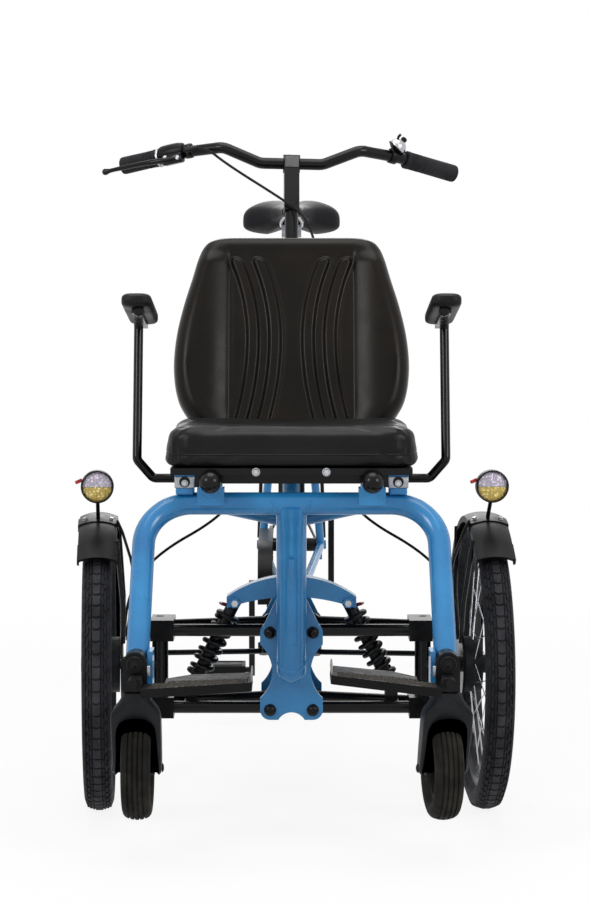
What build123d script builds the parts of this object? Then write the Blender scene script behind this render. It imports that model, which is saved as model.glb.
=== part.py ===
from build123d import *
import math
import os

os.makedirs("parts", exist_ok=True)

# A wheelchair bicycle: a chair on two steered wheels, pushed by a bicycle's rear half.
# It faces -Y, its left is +X, up is +Z. Lengths are millimetres, angles are degrees.
# Sizes below are worked out with the front axle at Y = 0 and the ground at Z = 0,
# and every piece is moved by HOME before it is written.

# Whole vehicle
FRONT_TYRE_R, FRONT_TYRE_W = 250.0, 50.0
REAR_TYRE_R, REAR_TYRE_W = 330.0, 46.0
GUARD_GAP = 15.0
GUARD_R, REAR_GUARD_R = FRONT_TYRE_R + GUARD_GAP, REAR_TYRE_R + GUARD_GAP
REAR_AXLE_Y = 1320.0
OVERALL_FRONT_Y = -500.0
HOME = Pos(0, -(OVERALL_FRONT_Y + REAR_AXLE_Y + REAR_GUARD_R) / 2, 0)
OVERRUN = 10.0
SEAT_GAP = 0.3
RUNNING_GAP = 0.05

# Front wheels, steered and sprung
FRONT_TRACK_HALF = 333.0
KINGPIN_IN = 105.0
KINGPIN_X = FRONT_TRACK_HALF - KINGPIN_IN
REST_STEER = 3.0
STUB_R = 8.5

# Centre plates and suspension arms
PLATE_T = 8.0
PLATE_FRONT_Y = -83.0
PLATE_REAR_Y = 87.0
PIVOT_X = 36.5
PIVOT_UP, PIVOT_DOWN = 66.0, 67.0
PIVOT_TOP_Z, PIVOT_LOW_Z = FRONT_TYRE_R + PIVOT_UP, FRONT_TYRE_R - PIVOT_DOWN
PIVOT_BOLT_R = 6.0
ARM_TUBE_R = 10.5
ARM_FRONT_Y = -50.0
ARM_REAR_Y = 66.0
BLOCK_IN, BLOCK_OUT = 26.0, 14.0
BLOCK_X0, BLOCK_X1 = KINGPIN_X - BLOCK_IN, KINGPIN_X + BLOCK_OUT
BLOCK_Y0, BLOCK_Y1 = -62.0, 24.0
BLOCK_H = 36.0

# Shock absorbers
SHOCK_TOP_X, SHOCK_TOP_UP = 98.0, 44.0
SHOCK_LOW_IN, SHOCK_LOW_UP = 55.0, 29.0
SHOCK_Y = -4.0
SHOCK_TOP = (SHOCK_TOP_X, SHOCK_Y, PIVOT_TOP_Z + SHOCK_TOP_UP)
SHOCK_LOW = (KINGPIN_X - SHOCK_LOW_IN, SHOCK_Y, PIVOT_LOW_Z + SHOCK_LOW_UP)
SPRING_R = 21.0
DAMPER_R = 11.0

# Blue front frame
TUBE_R = 18.5
CROSS_Y, CROSS_Z = -210.0, 547.0
LEG_TOP_X, LEG_FOOT_X = 240.0, 245.0
LEG_FOOT_Y, LEG_FOOT_Z = -392.0, 293.0
BEND_R = 78.0
COLUMN_R = 25.0
COLUMN_FOOT_Y, COLUMN_FOOT_UP = -109.0, 8.0
COLUMN_FOOT_Z = FRONT_TYRE_R + COLUMN_FOOT_UP

# Bicycle half
BEAM_R = 25.0
BEAM_UP = 15.0
BEAM_FRONT_Z = PIVOT_LOW_Z + BEAM_UP
CRANK_Y, CRANK_Z = 850.0, 285.0
CRANK_LENGTH = 170.0
CRANK_FACE_X = 76.0
CRANK_ARM_T = 12.0
SHELL_R, SHELL_HALF = 21.0, 36.0
DROPOUT_X = 66.0
SEAT_TUBE_TOP_Y, SEAT_TUBE_TOP_Z = 1058.0, 944.0
SADDLE_Y, SADDLE_TOP_Z = 1095.0, 1090.0

# Steering column
STEER_TILT = 24.0
BAR_Y, BAR_Z = 525.0, 1143.0
STEERER_R = 12.7
HEAD_R = 16.0
HEAD_TOP, HEAD_LOW = 587.0, 925.0
STEER_ARM_BACK, STEER_ARM_OUT = 60.0, 47.0
TIE_BALL_R = 9.0

# Chair
SEAT_FRONT_Y, SEAT_REAR_Y = -250.0, 103.0
SEAT_W, SEAT_Z, SEAT_H = 431.0, 607.0, 70.0
BACK_TILT = 17.2
BACK_Y, BACK_Z = 112.0, 634.0
BACK_LENGTH = 379.0
BACK_HALF_W = 212.0
BACK_T = 56.0
ARM_BAR_R = 8.0
ARM_BAR_Y, ARM_BAR_Z = 0.0, 574.0
ARM_POST_X = 267.0
ARM_TOP_Y, ARM_TOP_Z = 58.0, 832.0

# Castors and footplates
CASTOR_X, CASTOR_Y = 245.0, -415.0
CASTOR_R, CASTOR_W = 82.5, 47.0
CASTOR_TRAIL = 42.0
CASTOR_STEM_R = 9.0
CASTOR_Z = 138.0
LEFT_CASTOR_ANGLE = 7.0
FOOT_Z = 283.0
FOOT_HINGE_X, FOOT_HINGE_Z = 246.0, 290.0
FOOT_INNER_X = 62.0

LEFT, RIGHT = 1, -1
SIDES = (("left", LEFT), ("right", RIGHT))

UP_COLUMN = Vector(0, math.sin(math.radians(STEER_TILT)), math.cos(math.radians(STEER_TILT)))
COLUMN_BACK = Vector(0, math.cos(math.radians(STEER_TILT)), -math.sin(math.radians(STEER_TILT)))
BAR_CENTRE = Vector(0, BAR_Y, BAR_Z)


def rod(start, end, radius):
    """A round bar between two points."""
    start, end = Vector(*start), Vector(*end)
    along = Plane(origin=start, z_dir=end - start)
    return along * Cylinder(radius, (end - start).length, align=(Align.CENTER, Align.CENTER, Align.MIN))


def pipe(start, end, radius, bore):
    return rod(start, end, radius) - rod(start, end, bore)


def block(x0, x1, y0, y1, z0, z1):
    """A box between two corners."""
    box = Box(x1 - x0, y1 - y0, z1 - z0, align=(Align.MIN, Align.MIN, Align.MIN))
    return Pos(x0, y0, z0) * box


def standing(sketch, y0, y1):
    """A sketch drawn in X and Z, as thick as from y0 to y1."""
    return extrude(Plane.XZ.offset(-y1) * sketch, y1 - y0, dir=(0, -1, 0))


def lengthwise(sketch, x0, x1):
    """A sketch drawn in Y and Z, as thick as from x0 to x1."""
    return extrude(Plane.YZ.offset(x0) * sketch, x1 - x0, dir=(1, 0, 0))


def disc(x0, x1, y, z, radius, bore=0.0):
    """A round plate, square to X, with a bore if one is named."""
    outline = Circle(radius) if not bore else Circle(radius) - Circle(bore)
    return lengthwise(Pos(y, z) * outline, x0, x1)


def bent_rod(points, radii, radius):
    """A round bar along straight runs joined by bends."""
    path = FilletPolyline(*points, radius=radii)
    return sweep(Plane(origin=path @ 0, z_dir=path % 0) * Circle(radius), path=path)


def along_column(distance):
    """The point of the steering axis that lies this far below the handlebar."""
    return BAR_CENTRE - UP_COLUMN * distance


def steered(shape, side, angle=REST_STEER):
    """Turn a piece about its own kingpin."""
    return Pos(side * KINGPIN_X, 0, 0) * Rot(0, 0, angle) * Pos(-side * KINGPIN_X, 0, 0) * shape


def bar_steered(shape, angle=REST_STEER):
    """Turn a piece about the steering column."""
    axis = Axis(BAR_CENTRE, UP_COLUMN)
    return shape.rotate(axis, angle)


def on_side(shape, side):
    """A piece that is drawn on the left, on the side that is asked for."""
    return shape if side == LEFT else mirror(shape, about=Plane.YZ)


def both(shape):
    """A piece and its mirror image, as two solids of one node."""
    return Compound(shape.solids() + mirror(shape, about=Plane.YZ).solids())


def write(name, shape):
    export_step(HOME * shape, f"parts/{name}.step")


# Wheels

# shares of a tyre's width: how deep its bead, its widest place and its shoulder lie, and of half its width:
# how far out its bead and its shoulder are
bead_depth_share, side_depth_share, shoulder_depth_share = 0.8, 0.45, 0.06
bead_half_share, shoulder_half_share = 0.55, 0.6


def tyre(radius, width):
    """A round tyre with a flatter tread, turned about X, with its bead open towards the rim."""
    half = width / 2
    bead = (half * bead_half_share, radius - width * bead_depth_share)
    side = (half, radius - width * side_depth_share)
    shoulder = (half * shoulder_half_share, radius - width * shoulder_depth_share)
    left_bead, left_side, left_shoulder = [(-x, r) for x, r in (bead, side, shoulder)]
    outline = make_face(
        Line(left_bead, bead).edges()
        + ThreePointArc(bead, side, shoulder).edges()
        + ThreePointArc(shoulder, (0, radius), left_shoulder).edges()
        + ThreePointArc(left_shoulder, left_side, left_bead).edges())
    return revolve(outline, Axis.X)


rim_w, rim_depth, spoke_r = 28.0, 17.0, 1.0
rim_lip, rim_floor = 5.0, 3.0
spoke_count, spoke_angle = 28, 38.0


def spoked_wheel(rim_outer_r, hub, bore):
    """Rim, spokes and hub in one, turned about X. hub rows are (x0, x1, radius)."""
    half = rim_w / 2
    lip, floor = rim_lip, rim_floor
    inner_r = rim_outer_r - rim_depth
    outline = Polygon((-half, rim_outer_r), (-half, inner_r + lip), (-half + lip, inner_r),
                      (half - lip, inner_r), (half, inner_r + lip), (half, rim_outer_r),
                      (half - floor, rim_outer_r), (half - floor, rim_outer_r - lip),
                      (-half + floor, rim_outer_r - lip), (-half + floor, rim_outer_r), align=None)
    wheel = revolve(outline, Axis.X)
    for x0, x1, radius in hub:
        wheel += disc(x0, x1, 0, 0, radius)
    flanges = sorted(hub, key=lambda row: -row[2])[:2]
    sticks = []
    for i in range(spoke_count):
        x0, x1, radius = flanges[i % 2]
        turn = 360.0 * i / spoke_count
        at_hub = math.radians(turn + (spoke_angle if (i // 2) % 2 else -spoke_angle))
        at_rim = math.radians(turn)
        foot_r, tip_r = radius - lip, inner_r + floor
        foot = ((x0 + x1) / 2, foot_r * math.cos(at_hub), foot_r * math.sin(at_hub))
        tip = (0, tip_r * math.cos(at_rim), tip_r * math.sin(at_rim))
        sticks.append(rod(foot, tip, spoke_r))
    wheel = wheel.fuse(*sticks)
    return wheel - disc(-rim_outer_r, rim_outer_r, 0, 0, bore)


front_rim_r = FRONT_TYRE_R - FRONT_TYRE_W * bead_depth_share
front_hub_in, front_hub_out = -35.0, 32.0
drum_r, drum_w = 48.0, 30.0
outer_flange_r, flange_w = 30.0, 4.0
hub_barrel_r, hub_cap_r = 16.0, 13.0
front_hub = (
    (front_hub_in, front_hub_in + drum_w, drum_r),
    (front_hub_in + drum_w, front_hub_out - flange_w * 3, hub_barrel_r),
    (front_hub_out - flange_w * 4, front_hub_out - flange_w * 3, outer_flange_r),
    (front_hub_out - flange_w * 3, front_hub_out - flange_w, hub_cap_r),
)
front_wheel = spoked_wheel(front_rim_r, front_hub, STUB_R + RUNNING_GAP)
front_tyre = tyre(FRONT_TYRE_R, FRONT_TYRE_W) - disc(
    -FRONT_TYRE_W, FRONT_TYRE_W, 0, 0, front_rim_r + SEAT_GAP)
for name, side in SIDES:
    place = Pos(side * FRONT_TRACK_HALF, 0, FRONT_TYRE_R)
    write(f"{name}_front_tyre", steered(place * front_tyre, side))
    write(f"{name}_front_wheel", steered(place * on_side(front_wheel, side), side))

rear_rim_r = REAR_TYRE_R - REAR_TYRE_W * bead_depth_share
rear_axle_r = 6.0
sprocket_r, sprocket_t, sprocket_x = 34.0, 3.0, -46.0
rear_flange_x, rear_flange_r, rear_barrel_r = 34.0, 32.0, 22.0
rear_end_x, rear_end_r = 56.0, 15.0
rear_hub = (
    (-rear_flange_x, -rear_flange_x + flange_w, rear_flange_r),
    (-rear_flange_x + flange_w, rear_flange_x - flange_w, rear_barrel_r),
    (rear_flange_x - flange_w, rear_flange_x, rear_flange_r),
    (-rear_end_x, -rear_flange_x, rear_end_r),
    (rear_flange_x, rear_end_x, rear_end_r),
)
rear_wheel = spoked_wheel(rear_rim_r, rear_hub, rear_axle_r + RUNNING_GAP)
rear_wheel += disc(sprocket_x - sprocket_t / 2, sprocket_x + sprocket_t / 2, 0, 0, sprocket_r, rear_end_r / 2)
rear_tyre = tyre(REAR_TYRE_R, REAR_TYRE_W) - disc(
    -REAR_TYRE_W, REAR_TYRE_W, 0, 0, rear_rim_r + SEAT_GAP)
write("rear_tyre", Pos(0, REAR_AXLE_Y, REAR_TYRE_R) * rear_tyre)
write("rear_wheel", Pos(0, REAR_AXLE_Y, REAR_TYRE_R) * rear_wheel)


# Steering knuckles with stub axle, brake plate, steering arm and mudguard stays

post_r, pin_r = 14.0, 7.0
pin_depth = 30.0
brake_plate_r, brake_plate_t, brake_plate_x = 58.0, 4.0, -41.0
arm_t, arm_boss_r = 10.0, 11.0
TIE_UP = 48.0
TIE_Z = PIVOT_LOW_Z + BLOCK_H / 2 + TIE_UP
stay_r = 4.0
GUARD_T, GUARD_W = 2.5, 64.8
GUARD_LAST_ANGLE, GUARD_FIRST_ANGLE = 130.0, -8.0
stay_angles = (62.0, 118.0)
ball_pin_r, ball_pin_h, knuckle_pin_h = 4.0, 12.0, 22.0


def knuckle():
    """The left knuckle, straight ahead."""
    low = PIVOT_LOW_Z + BLOCK_H / 2 + SEAT_GAP
    high = PIVOT_TOP_Z - BLOCK_H / 2 - SEAT_GAP
    x = KINGPIN_X
    piece = rod((x, 0, low), (x, 0, high), post_r)
    piece += rod((x, 0, low - pin_depth), (x, 0, high + pin_depth), pin_r)
    plate_x = FRONT_TRACK_HALF + brake_plate_x
    axle_end = FRONT_TRACK_HALF + front_hub_out
    piece += rod((x, 0, FRONT_TYRE_R), (axle_end, 0, FRONT_TYRE_R), STUB_R)
    piece += rod((x, 0, FRONT_TYRE_R), (plate_x, 0, FRONT_TYRE_R), post_r)
    piece += disc(plate_x, plate_x + brake_plate_t, 0, FRONT_TYRE_R, brake_plate_r)
    piece += disc(axle_end - flange_w + SEAT_GAP, axle_end, 0, FRONT_TYRE_R, hub_cap_r)
    tip = (x + STEER_ARM_OUT, STEER_ARM_BACK)
    arm = Pos(*tip) * Circle(arm_boss_r) + Pos(x, 0) * Circle(arm_boss_r)
    arm += make_face(Polyline((x - arm_boss_r * 0.8, arm_boss_r * 0.8), (x + arm_boss_r * 0.8, -arm_boss_r * 0.8),
                              (tip[0] + arm_boss_r * 0.8, tip[1] - arm_boss_r * 0.6),
                              (tip[0] - arm_boss_r * 0.8, tip[1] + arm_boss_r * 0.6), close=True))
    piece += extrude(Pos(0, 0, TIE_Z - arm_t) * arm, arm_t)
    piece += rod((*tip, TIE_Z), (*tip, TIE_Z + knuckle_pin_h), ball_pin_r)
    guard_edge_x = FRONT_TRACK_HALF - GUARD_W / 2
    reach = GUARD_R - GUARD_T - stay_r
    for angle in stay_angles:
        y, z = reach * math.cos(math.radians(angle)), FRONT_TYRE_R + reach * math.sin(math.radians(angle))
        hub_share = brake_plate_r * 0.8 / reach
        foot = (plate_x, y * hub_share, FRONT_TYRE_R + (z - FRONT_TYRE_R) * hub_share)
        knee = (plate_x, y * 0.5, FRONT_TYRE_R + (z - FRONT_TYRE_R) * 0.5)
        piece += rod(foot, knee, stay_r)
        piece += Pos(*knee) * Sphere(stay_r + SEAT_GAP)
        piece += rod(knee, (guard_edge_x, y, z), stay_r)
    return piece


def mudguard(radius, width, thick, first, last):
    """A crowned strip round a wheel with turned-down edges, from one angle to another, about X."""
    half, crown, skirt = width / 2, width * 0.12, width * 0.16
    shoulder = radius - crown
    outer = [(-half, shoulder - skirt), (-half, shoulder), (0, radius), (half, shoulder), (half, shoulder - skirt)]
    inner_half = half - thick
    face = make_face(
        Line(outer[0], outer[1]).edges() + ThreePointArc(outer[1], outer[2], outer[3]).edges()
        + Line(outer[3], outer[4]).edges() + Line(outer[4], (inner_half, shoulder - skirt)).edges()
        + Line((inner_half, shoulder - skirt), (inner_half, shoulder - thick)).edges()
        + ThreePointArc((inner_half, shoulder - thick), (0, radius - thick), (-inner_half, shoulder - thick)).edges()
        + Line((-inner_half, shoulder - thick), (-inner_half, shoulder - skirt)).edges()
        + Line((-inner_half, shoulder - skirt), outer[0]).edges())
    return Rot(first, 0, 0) * revolve(face, Axis.X, revolution_arc=last - first)


lamp_r, lamp_depth, lamp_y, lamp_up = 28.0, 44.0, -100.0, 53.0
lamp_z = FRONT_TYRE_R + GUARD_R + lamp_up
lamp_post_r = 3.5


def lamp():
    """A round lamp on a thin post that stands on the mudguard."""
    body = standing(Pos(FRONT_TRACK_HALF, lamp_z) * Circle(lamp_r), lamp_y - lamp_depth / 2, lamp_y)
    tail_r = lamp_r * 0.55
    cone = Plane(origin=(FRONT_TRACK_HALF, lamp_y, lamp_z), z_dir=(0, 1, 0)) * Cone(
        lamp_r, tail_r, lamp_depth / 2, align=(Align.CENTER, Align.CENTER, Align.MIN))
    foot_r = GUARD_R - GUARD_T / 2
    foot_z = FRONT_TYRE_R + math.sqrt(foot_r ** 2 - lamp_y ** 2)
    post = rod((FRONT_TRACK_HALF, lamp_y, foot_z), (FRONT_TRACK_HALF, lamp_y, lamp_z), lamp_post_r)
    return body + cone + post


def largest(shape):
    """The biggest solid that a cut has left."""
    return max(shape.solids(), key=lambda solid: solid.volume)


front_guard = Pos(FRONT_TRACK_HALF, 0, FRONT_TYRE_R) * mudguard(
    GUARD_R, GUARD_W, GUARD_T, GUARD_FIRST_ANGLE, GUARD_LAST_ANGLE)
front_knuckle = largest(largest(knuckle()).cut(largest(front_guard)))
front_lamp = largest(largest(lamp()).cut(largest(front_guard)))
for name, side in SIDES:
    write(f"{name}_knuckle", steered(on_side(front_knuckle, side), side))
    write(f"{name}_mudguard", steered(on_side(front_guard, side), side))
    write(f"{name}_lamp", steered(on_side(front_lamp, side), side))


# Suspension arms: two tubes, an inner eye on each and a block for the kingpin

eye_r, eye_half = 15.0, 11.0
bracket_t, bracket_ear_r = 5.0, 11.0
shock_eye_half, shock_bolt_r = 11.5, 5.0


def suspension_arm(z, with_shock):
    """The left arm at one height."""
    arm = block(BLOCK_X0, BLOCK_X1, BLOCK_Y0, BLOCK_Y1, z - BLOCK_H / 2, z + BLOCK_H / 2)
    tips = ((ARM_FRONT_Y, ARM_FRONT_Y), (ARM_REAR_Y, BLOCK_Y1 - ARM_TUBE_R))
    for y_in, y_out in tips:
        arm += rod((PIVOT_X, y_in, z), (BLOCK_X0 + ARM_TUBE_R, y_out, z), ARM_TUBE_R)
        arm += standing(Pos(PIVOT_X, z) * Circle(eye_r), y_in - eye_half, y_in + eye_half)
    if with_shock:
        x, y, eye_z = SHOCK_LOW
        arm += block(x - bracket_ear_r, x + bracket_ear_r, ARM_FRONT_Y, BLOCK_Y1, z, z + ARM_TUBE_R)
        for ear_y in (y - shock_eye_half - bracket_t - SEAT_GAP * 2, y + shock_eye_half):
            ear = Pos(x, eye_z) * Circle(bracket_ear_r)
            ear += Pos(x, (eye_z + z) / 2) * Rectangle(bracket_ear_r * 2, eye_z - z)
            arm += standing(ear, ear_y + SEAT_GAP, ear_y + bracket_t)
        arm += standing(Pos(x, eye_z) * Circle(shock_bolt_r), y - shock_eye_half - bracket_t * 2,
                        y + shock_eye_half + bracket_t * 2)
    for y_in, _ in tips:
        arm -= standing(Pos(PIVOT_X, z) * Circle(PIVOT_BOLT_R + RUNNING_GAP),
                        y_in - eye_half - OVERRUN, y_in + eye_half + OVERRUN)
    return arm - rod((KINGPIN_X, 0, z - BLOCK_H), (KINGPIN_X, 0, z + BLOCK_H), pin_r + RUNNING_GAP)


write("upper_arms", both(suspension_arm(PIVOT_TOP_Z, False)))
write("lower_arms", both(suspension_arm(PIVOT_LOW_Z, True)))

# Bolts through both centre plates, on which the arms pivot
bolt_head_r, bolt_head_h = 9.5, 7.0
bolts = []
for side in (LEFT, RIGHT):
    for z in (PIVOT_TOP_Z, PIVOT_LOW_Z):
        centre = Pos(side * PIVOT_X, z)
        shank = standing(centre * Circle(PIVOT_BOLT_R), PLATE_FRONT_Y, PLATE_REAR_Y + PLATE_T)
        front_head = standing(centre * RegularPolygon(bolt_head_r, 6), PLATE_FRONT_Y - bolt_head_h, PLATE_FRONT_Y)
        rear_nut = standing(centre * RegularPolygon(bolt_head_r, 6),
                            PLATE_REAR_Y + PLATE_T, PLATE_REAR_Y + PLATE_T + bolt_head_h)
        bolts += (shank + front_head + rear_nut).solids()
write("pivot_bolts", Compound(bolts))


# Shock absorbers: damper with two eyes, and the coil round it as one ribbed sleeve

def shock(side):
    top, low = Vector(*SHOCK_TOP), Vector(*SHOCK_LOW)
    damper = rod(top, low, DAMPER_R)
    for point in (top, low):
        damper += standing(Pos(point.X, point.Z) * Circle(bracket_ear_r), point.Y - shock_eye_half,
                           point.Y + shock_eye_half)
    for point in (top, low):
        damper -= standing(Pos(point.X, point.Z) * Circle(shock_bolt_r + RUNNING_GAP), point.Y - OVERRUN * 2,
                           point.Y + OVERRUN * 2)
    return damper if side == LEFT else mirror(damper, about=Plane.YZ)


spring_start_share, spring_end_share = 0.22, 0.8
coil_wire_r, coils = 4.0, 7


def spring_sleeve():
    """A sleeve with one rib for each turn of the coil."""
    top, low = Vector(*SHOCK_TOP), Vector(*SHOCK_LOW)
    first = top + (low - top) * spring_start_share
    last = top + (low - top) * spring_end_share
    run = (last - first).length
    pitch = run / coils
    inner = DAMPER_R + SEAT_GAP
    groove = SPRING_R - coil_wire_r
    edge = [(inner, 0)]
    for turn in range(coils):
        edge += [(groove, turn * pitch), (SPRING_R, turn * pitch + pitch * 0.3),
                 (SPRING_R, turn * pitch + pitch * 0.7)]
    edge += [(groove, run), (inner, run)]
    sleeve = revolve(Plane.XZ * make_face(Polyline(*edge, close=True)), Axis.Z)
    return Plane(origin=first, z_dir=last - first) * sleeve


write("shock_dampers", Compound(shock(LEFT).solids() + shock(RIGHT).solids()))
write("shock_springs", both(spring_sleeve()))


# Centre plates with four lobes, the keel between them and the wing that carries the shocks

lobe_r, waist_half, waist_cut_r = 17.0, 33.0, 62.0
plate_top_half, plate_top_up = 26.0, 56.0
plate_top_z = PIVOT_TOP_Z + plate_top_up
foot_arc_r = 26.0
keel_half, keel_in = 14.0, 30.0
keel_z0, keel_z1 = PIVOT_LOW_Z + keel_in, PIVOT_TOP_Z - keel_in


def centre_plate(y0):
    mid_z = (PIVOT_TOP_Z + PIVOT_LOW_Z) / 2
    outer = PIVOT_X + lobe_r
    sketch = Pos(0, mid_z) * Rectangle(outer * 2, PIVOT_TOP_Z - PIVOT_LOW_Z)
    sketch += Polygon((-outer, PIVOT_TOP_Z), (outer, PIVOT_TOP_Z), (plate_top_half, plate_top_z),
                      (-plate_top_half, plate_top_z), align=None)
    sketch += Pos(0, PIVOT_LOW_Z - lobe_r / 2) * Rectangle(PIVOT_X * 2, lobe_r)
    for side in (LEFT, RIGHT):
        for z in (PIVOT_TOP_Z, PIVOT_LOW_Z):
            sketch += Pos(side * PIVOT_X, z) * Circle(lobe_r)
    for side in (LEFT, RIGHT):
        sketch -= Pos(side * (waist_half + waist_cut_r), mid_z) * Circle(waist_cut_r)
    sketch -= Pos(0, PIVOT_LOW_Z - lobe_r - foot_arc_r / 2) * Circle(foot_arc_r)
    for side in (LEFT, RIGHT):
        for z in (PIVOT_TOP_Z, PIVOT_LOW_Z):
            sketch -= Pos(side * PIVOT_X, z) * Circle(PIVOT_BOLT_R + RUNNING_GAP)
    return standing(sketch, y0, y0 + PLATE_T)


wing_half, wing_tip_h, wing_rise = 112.0, 20.0, 46.0
wing_t = 7.0
wing_half_d = shock_eye_half + SEAT_GAP + wing_t
wing_y0, wing_y1 = SHOCK_TOP[1] - wing_half_d, SHOCK_TOP[1] + wing_half_d


def shock_wing():
    """Two arched plates joined by a roof, with a bolt at each tip for the shock's upper eye."""
    tip_z = SHOCK_TOP[2] - wing_tip_h / 2
    top_z = tip_z + wing_rise + wing_tip_h / 2
    arch = make_face(
        Line((-wing_half, tip_z), (-wing_half, tip_z + wing_tip_h)).edges()
        + ThreePointArc((-wing_half, tip_z + wing_tip_h), (0, top_z), (wing_half, tip_z + wing_tip_h)).edges()
        + Line((wing_half, tip_z + wing_tip_h), (wing_half, tip_z)).edges()
        + ThreePointArc((wing_half, tip_z), (0, tip_z + wing_tip_h), (-wing_half, tip_z)).edges())
    wing = standing(arch, wing_y0, wing_y1)
    hollow = standing(arch, wing_y0 + wing_t, wing_y1 - wing_t)
    wing -= Pos(0, 0, -wing_t) * hollow
    for side in (LEFT, RIGHT):
        x = side * SHOCK_TOP[0]
        wing -= standing(Pos(x, SHOCK_TOP[2]) * Circle(bracket_ear_r + SEAT_GAP), wing_y0 + wing_t, wing_y1 - wing_t)
        wing += standing(Pos(x, SHOCK_TOP[2]) * Circle(shock_bolt_r), wing_y0 - wing_t, wing_y1 + wing_t)
        wing += standing(Pos(x, SHOCK_TOP[2]) * RegularPolygon(bolt_head_r, 6), wing_y0 - wing_t, wing_y0)
    return wing


plates = centre_plate(PLATE_FRONT_Y) + centre_plate(PLATE_REAR_Y)
plates += block(-keel_half, keel_half, PLATE_FRONT_Y + PLATE_T, PLATE_REAR_Y, keel_z0, keel_z1)
plates += block(-keel_half, keel_half, PLATE_FRONT_Y + PLATE_T, PLATE_REAR_Y,
                plate_top_z - wing_t * 2, plate_top_z)
plates += shock_wing()
write("centre_plates", plates)


# Blue front frame: the bent tube that carries the castors, and the column down to the plates

def u_frame():
    points = [(-LEG_FOOT_X, LEG_FOOT_Y, LEG_FOOT_Z), (-LEG_TOP_X, CROSS_Y, CROSS_Z),
              (LEG_TOP_X, CROSS_Y, CROSS_Z), (LEG_FOOT_X, LEG_FOOT_Y, LEG_FOOT_Z)]
    return bent_rod(points, BEND_R, TUBE_R)


u_tube = u_frame()
lug_x, lug_half_w, lug_d, lug_h = 132.0, 22.0, 44.0, 28.0
for side in (LEFT, RIGHT):
    u_tube += block(side * lug_x - lug_half_w, side * lug_x + lug_half_w, CROSS_Y - lug_d, CROSS_Y,
                    CROSS_Z, CROSS_Z + lug_h)
gusset_t, gusset_d, gusset_h = 8.0, 52.0, 56.0
for side in (LEFT, RIGHT):
    edge = side * (LEG_FOOT_X - TUBE_R - gusset_t / 2)
    u_tube += block(edge - gusset_t / 2, edge + gusset_t / 2, LEG_FOOT_Y - gusset_d / 2, LEG_FOOT_Y + gusset_d / 2,
                    LEG_FOOT_Z - gusset_h / 3, LEG_FOOT_Z + gusset_h * 2 / 3)
    u_tube -= rod((side * CASTOR_X, CASTOR_Y, CRANK_Z / 2), (side * CASTOR_X, CASTOR_Y, CROSS_Z),
                  CASTOR_STEM_R + SEAT_GAP)
write("u_frame", u_tube)

column_top = (0, CROSS_Y, CROSS_Z)
column_foot = (0, COLUMN_FOOT_Y, COLUMN_FOOT_Z)
column = rod(column_top, column_foot, COLUMN_R)
column += Pos(*column_foot) * Sphere(COLUMN_R)
web = make_face(Polyline((COLUMN_FOOT_Y, COLUMN_FOOT_Z), (CROSS_Y, CROSS_Z - TUBE_R * 5),
                         (PLATE_FRONT_Y, plate_top_z), (PLATE_FRONT_Y, COLUMN_FOOT_Z), close=True))
column += lengthwise(web, -gusset_t / 2, gusset_t / 2)
write("centre_column", column - u_frame() - plates)


# Bicycle frame: beam, bottom bracket, seat tube, head tube and its struts

def dot(point):
    return (point.X, point.Y, point.Z)


head_top, head_low = along_column(HEAD_TOP), along_column(HEAD_LOW)
seat_tube_top = (0, SEAT_TUBE_TOP_Y, SEAT_TUBE_TOP_Z)
crank_centre = (0, CRANK_Y, CRANK_Z)
post_tube_r, strut_r = 16.0, 14.0
beam = rod((0, PLATE_REAR_Y - PLATE_T, BEAM_FRONT_Z), crank_centre, BEAM_R)
beam -= block(-BEAM_R, BEAM_R, 0, PLATE_REAR_Y + PLATE_T, 0, CRANK_Z)
bike = beam + disc(-SHELL_HALF, SHELL_HALF, CRANK_Y, CRANK_Z, SHELL_R)
bike += rod(crank_centre, seat_tube_top, post_tube_r)
bike += rod(dot(head_top), dot(head_low), HEAD_R)
strut_foot_y, strut_head_share, web_t = 420.0, 0.2, 6.0
strut_head = head_top + (head_low - head_top) * strut_head_share
bike += rod((0, strut_foot_y, BEAM_FRONT_Z + BEAM_R), dot(strut_head), strut_r)
gusset_high = head_top + (head_low - head_top) * 0.4
gusset_low = head_top + (head_low - head_top) * 0.94
beam_share = (strut_foot_y - PLATE_REAR_Y) / (CRANK_Y - PLATE_REAR_Y)
strut_foot_z = BEAM_FRONT_Z + (CRANK_Z - BEAM_FRONT_Z) * beam_share
head_web = make_face(Polyline((gusset_high.Y, gusset_high.Z), (gusset_low.Y, gusset_low.Z),
                              (strut_foot_y - BEAM_R * 4, strut_foot_z), (strut_foot_y, strut_foot_z), close=True))
bike += lengthwise(head_web, -web_t / 2, web_t / 2)
seat_bore_depth, seat_post_r = 150.0, 13.5
seat_tube_dir = (Vector(*seat_tube_top) - Vector(*crank_centre)).normalized()
bore_foot = Vector(*seat_tube_top) - seat_tube_dir * seat_bore_depth
bike -= rod(dot(head_top + UP_COLUMN * OVERRUN), dot(head_low - UP_COLUMN * (OVERRUN * 2)), STEERER_R + RUNNING_GAP)
bike -= rod(dot(bore_foot), dot(Vector(*seat_tube_top) + seat_tube_dir * OVERRUN), seat_post_r + RUNNING_GAP)
crank_axle_r = 9.0
bike -= disc(-SHELL_HALF - OVERRUN, SHELL_HALF + OVERRUN, CRANK_Y, CRANK_Z, crank_axle_r + RUNNING_GAP)
write("main_frame", bike)

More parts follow.
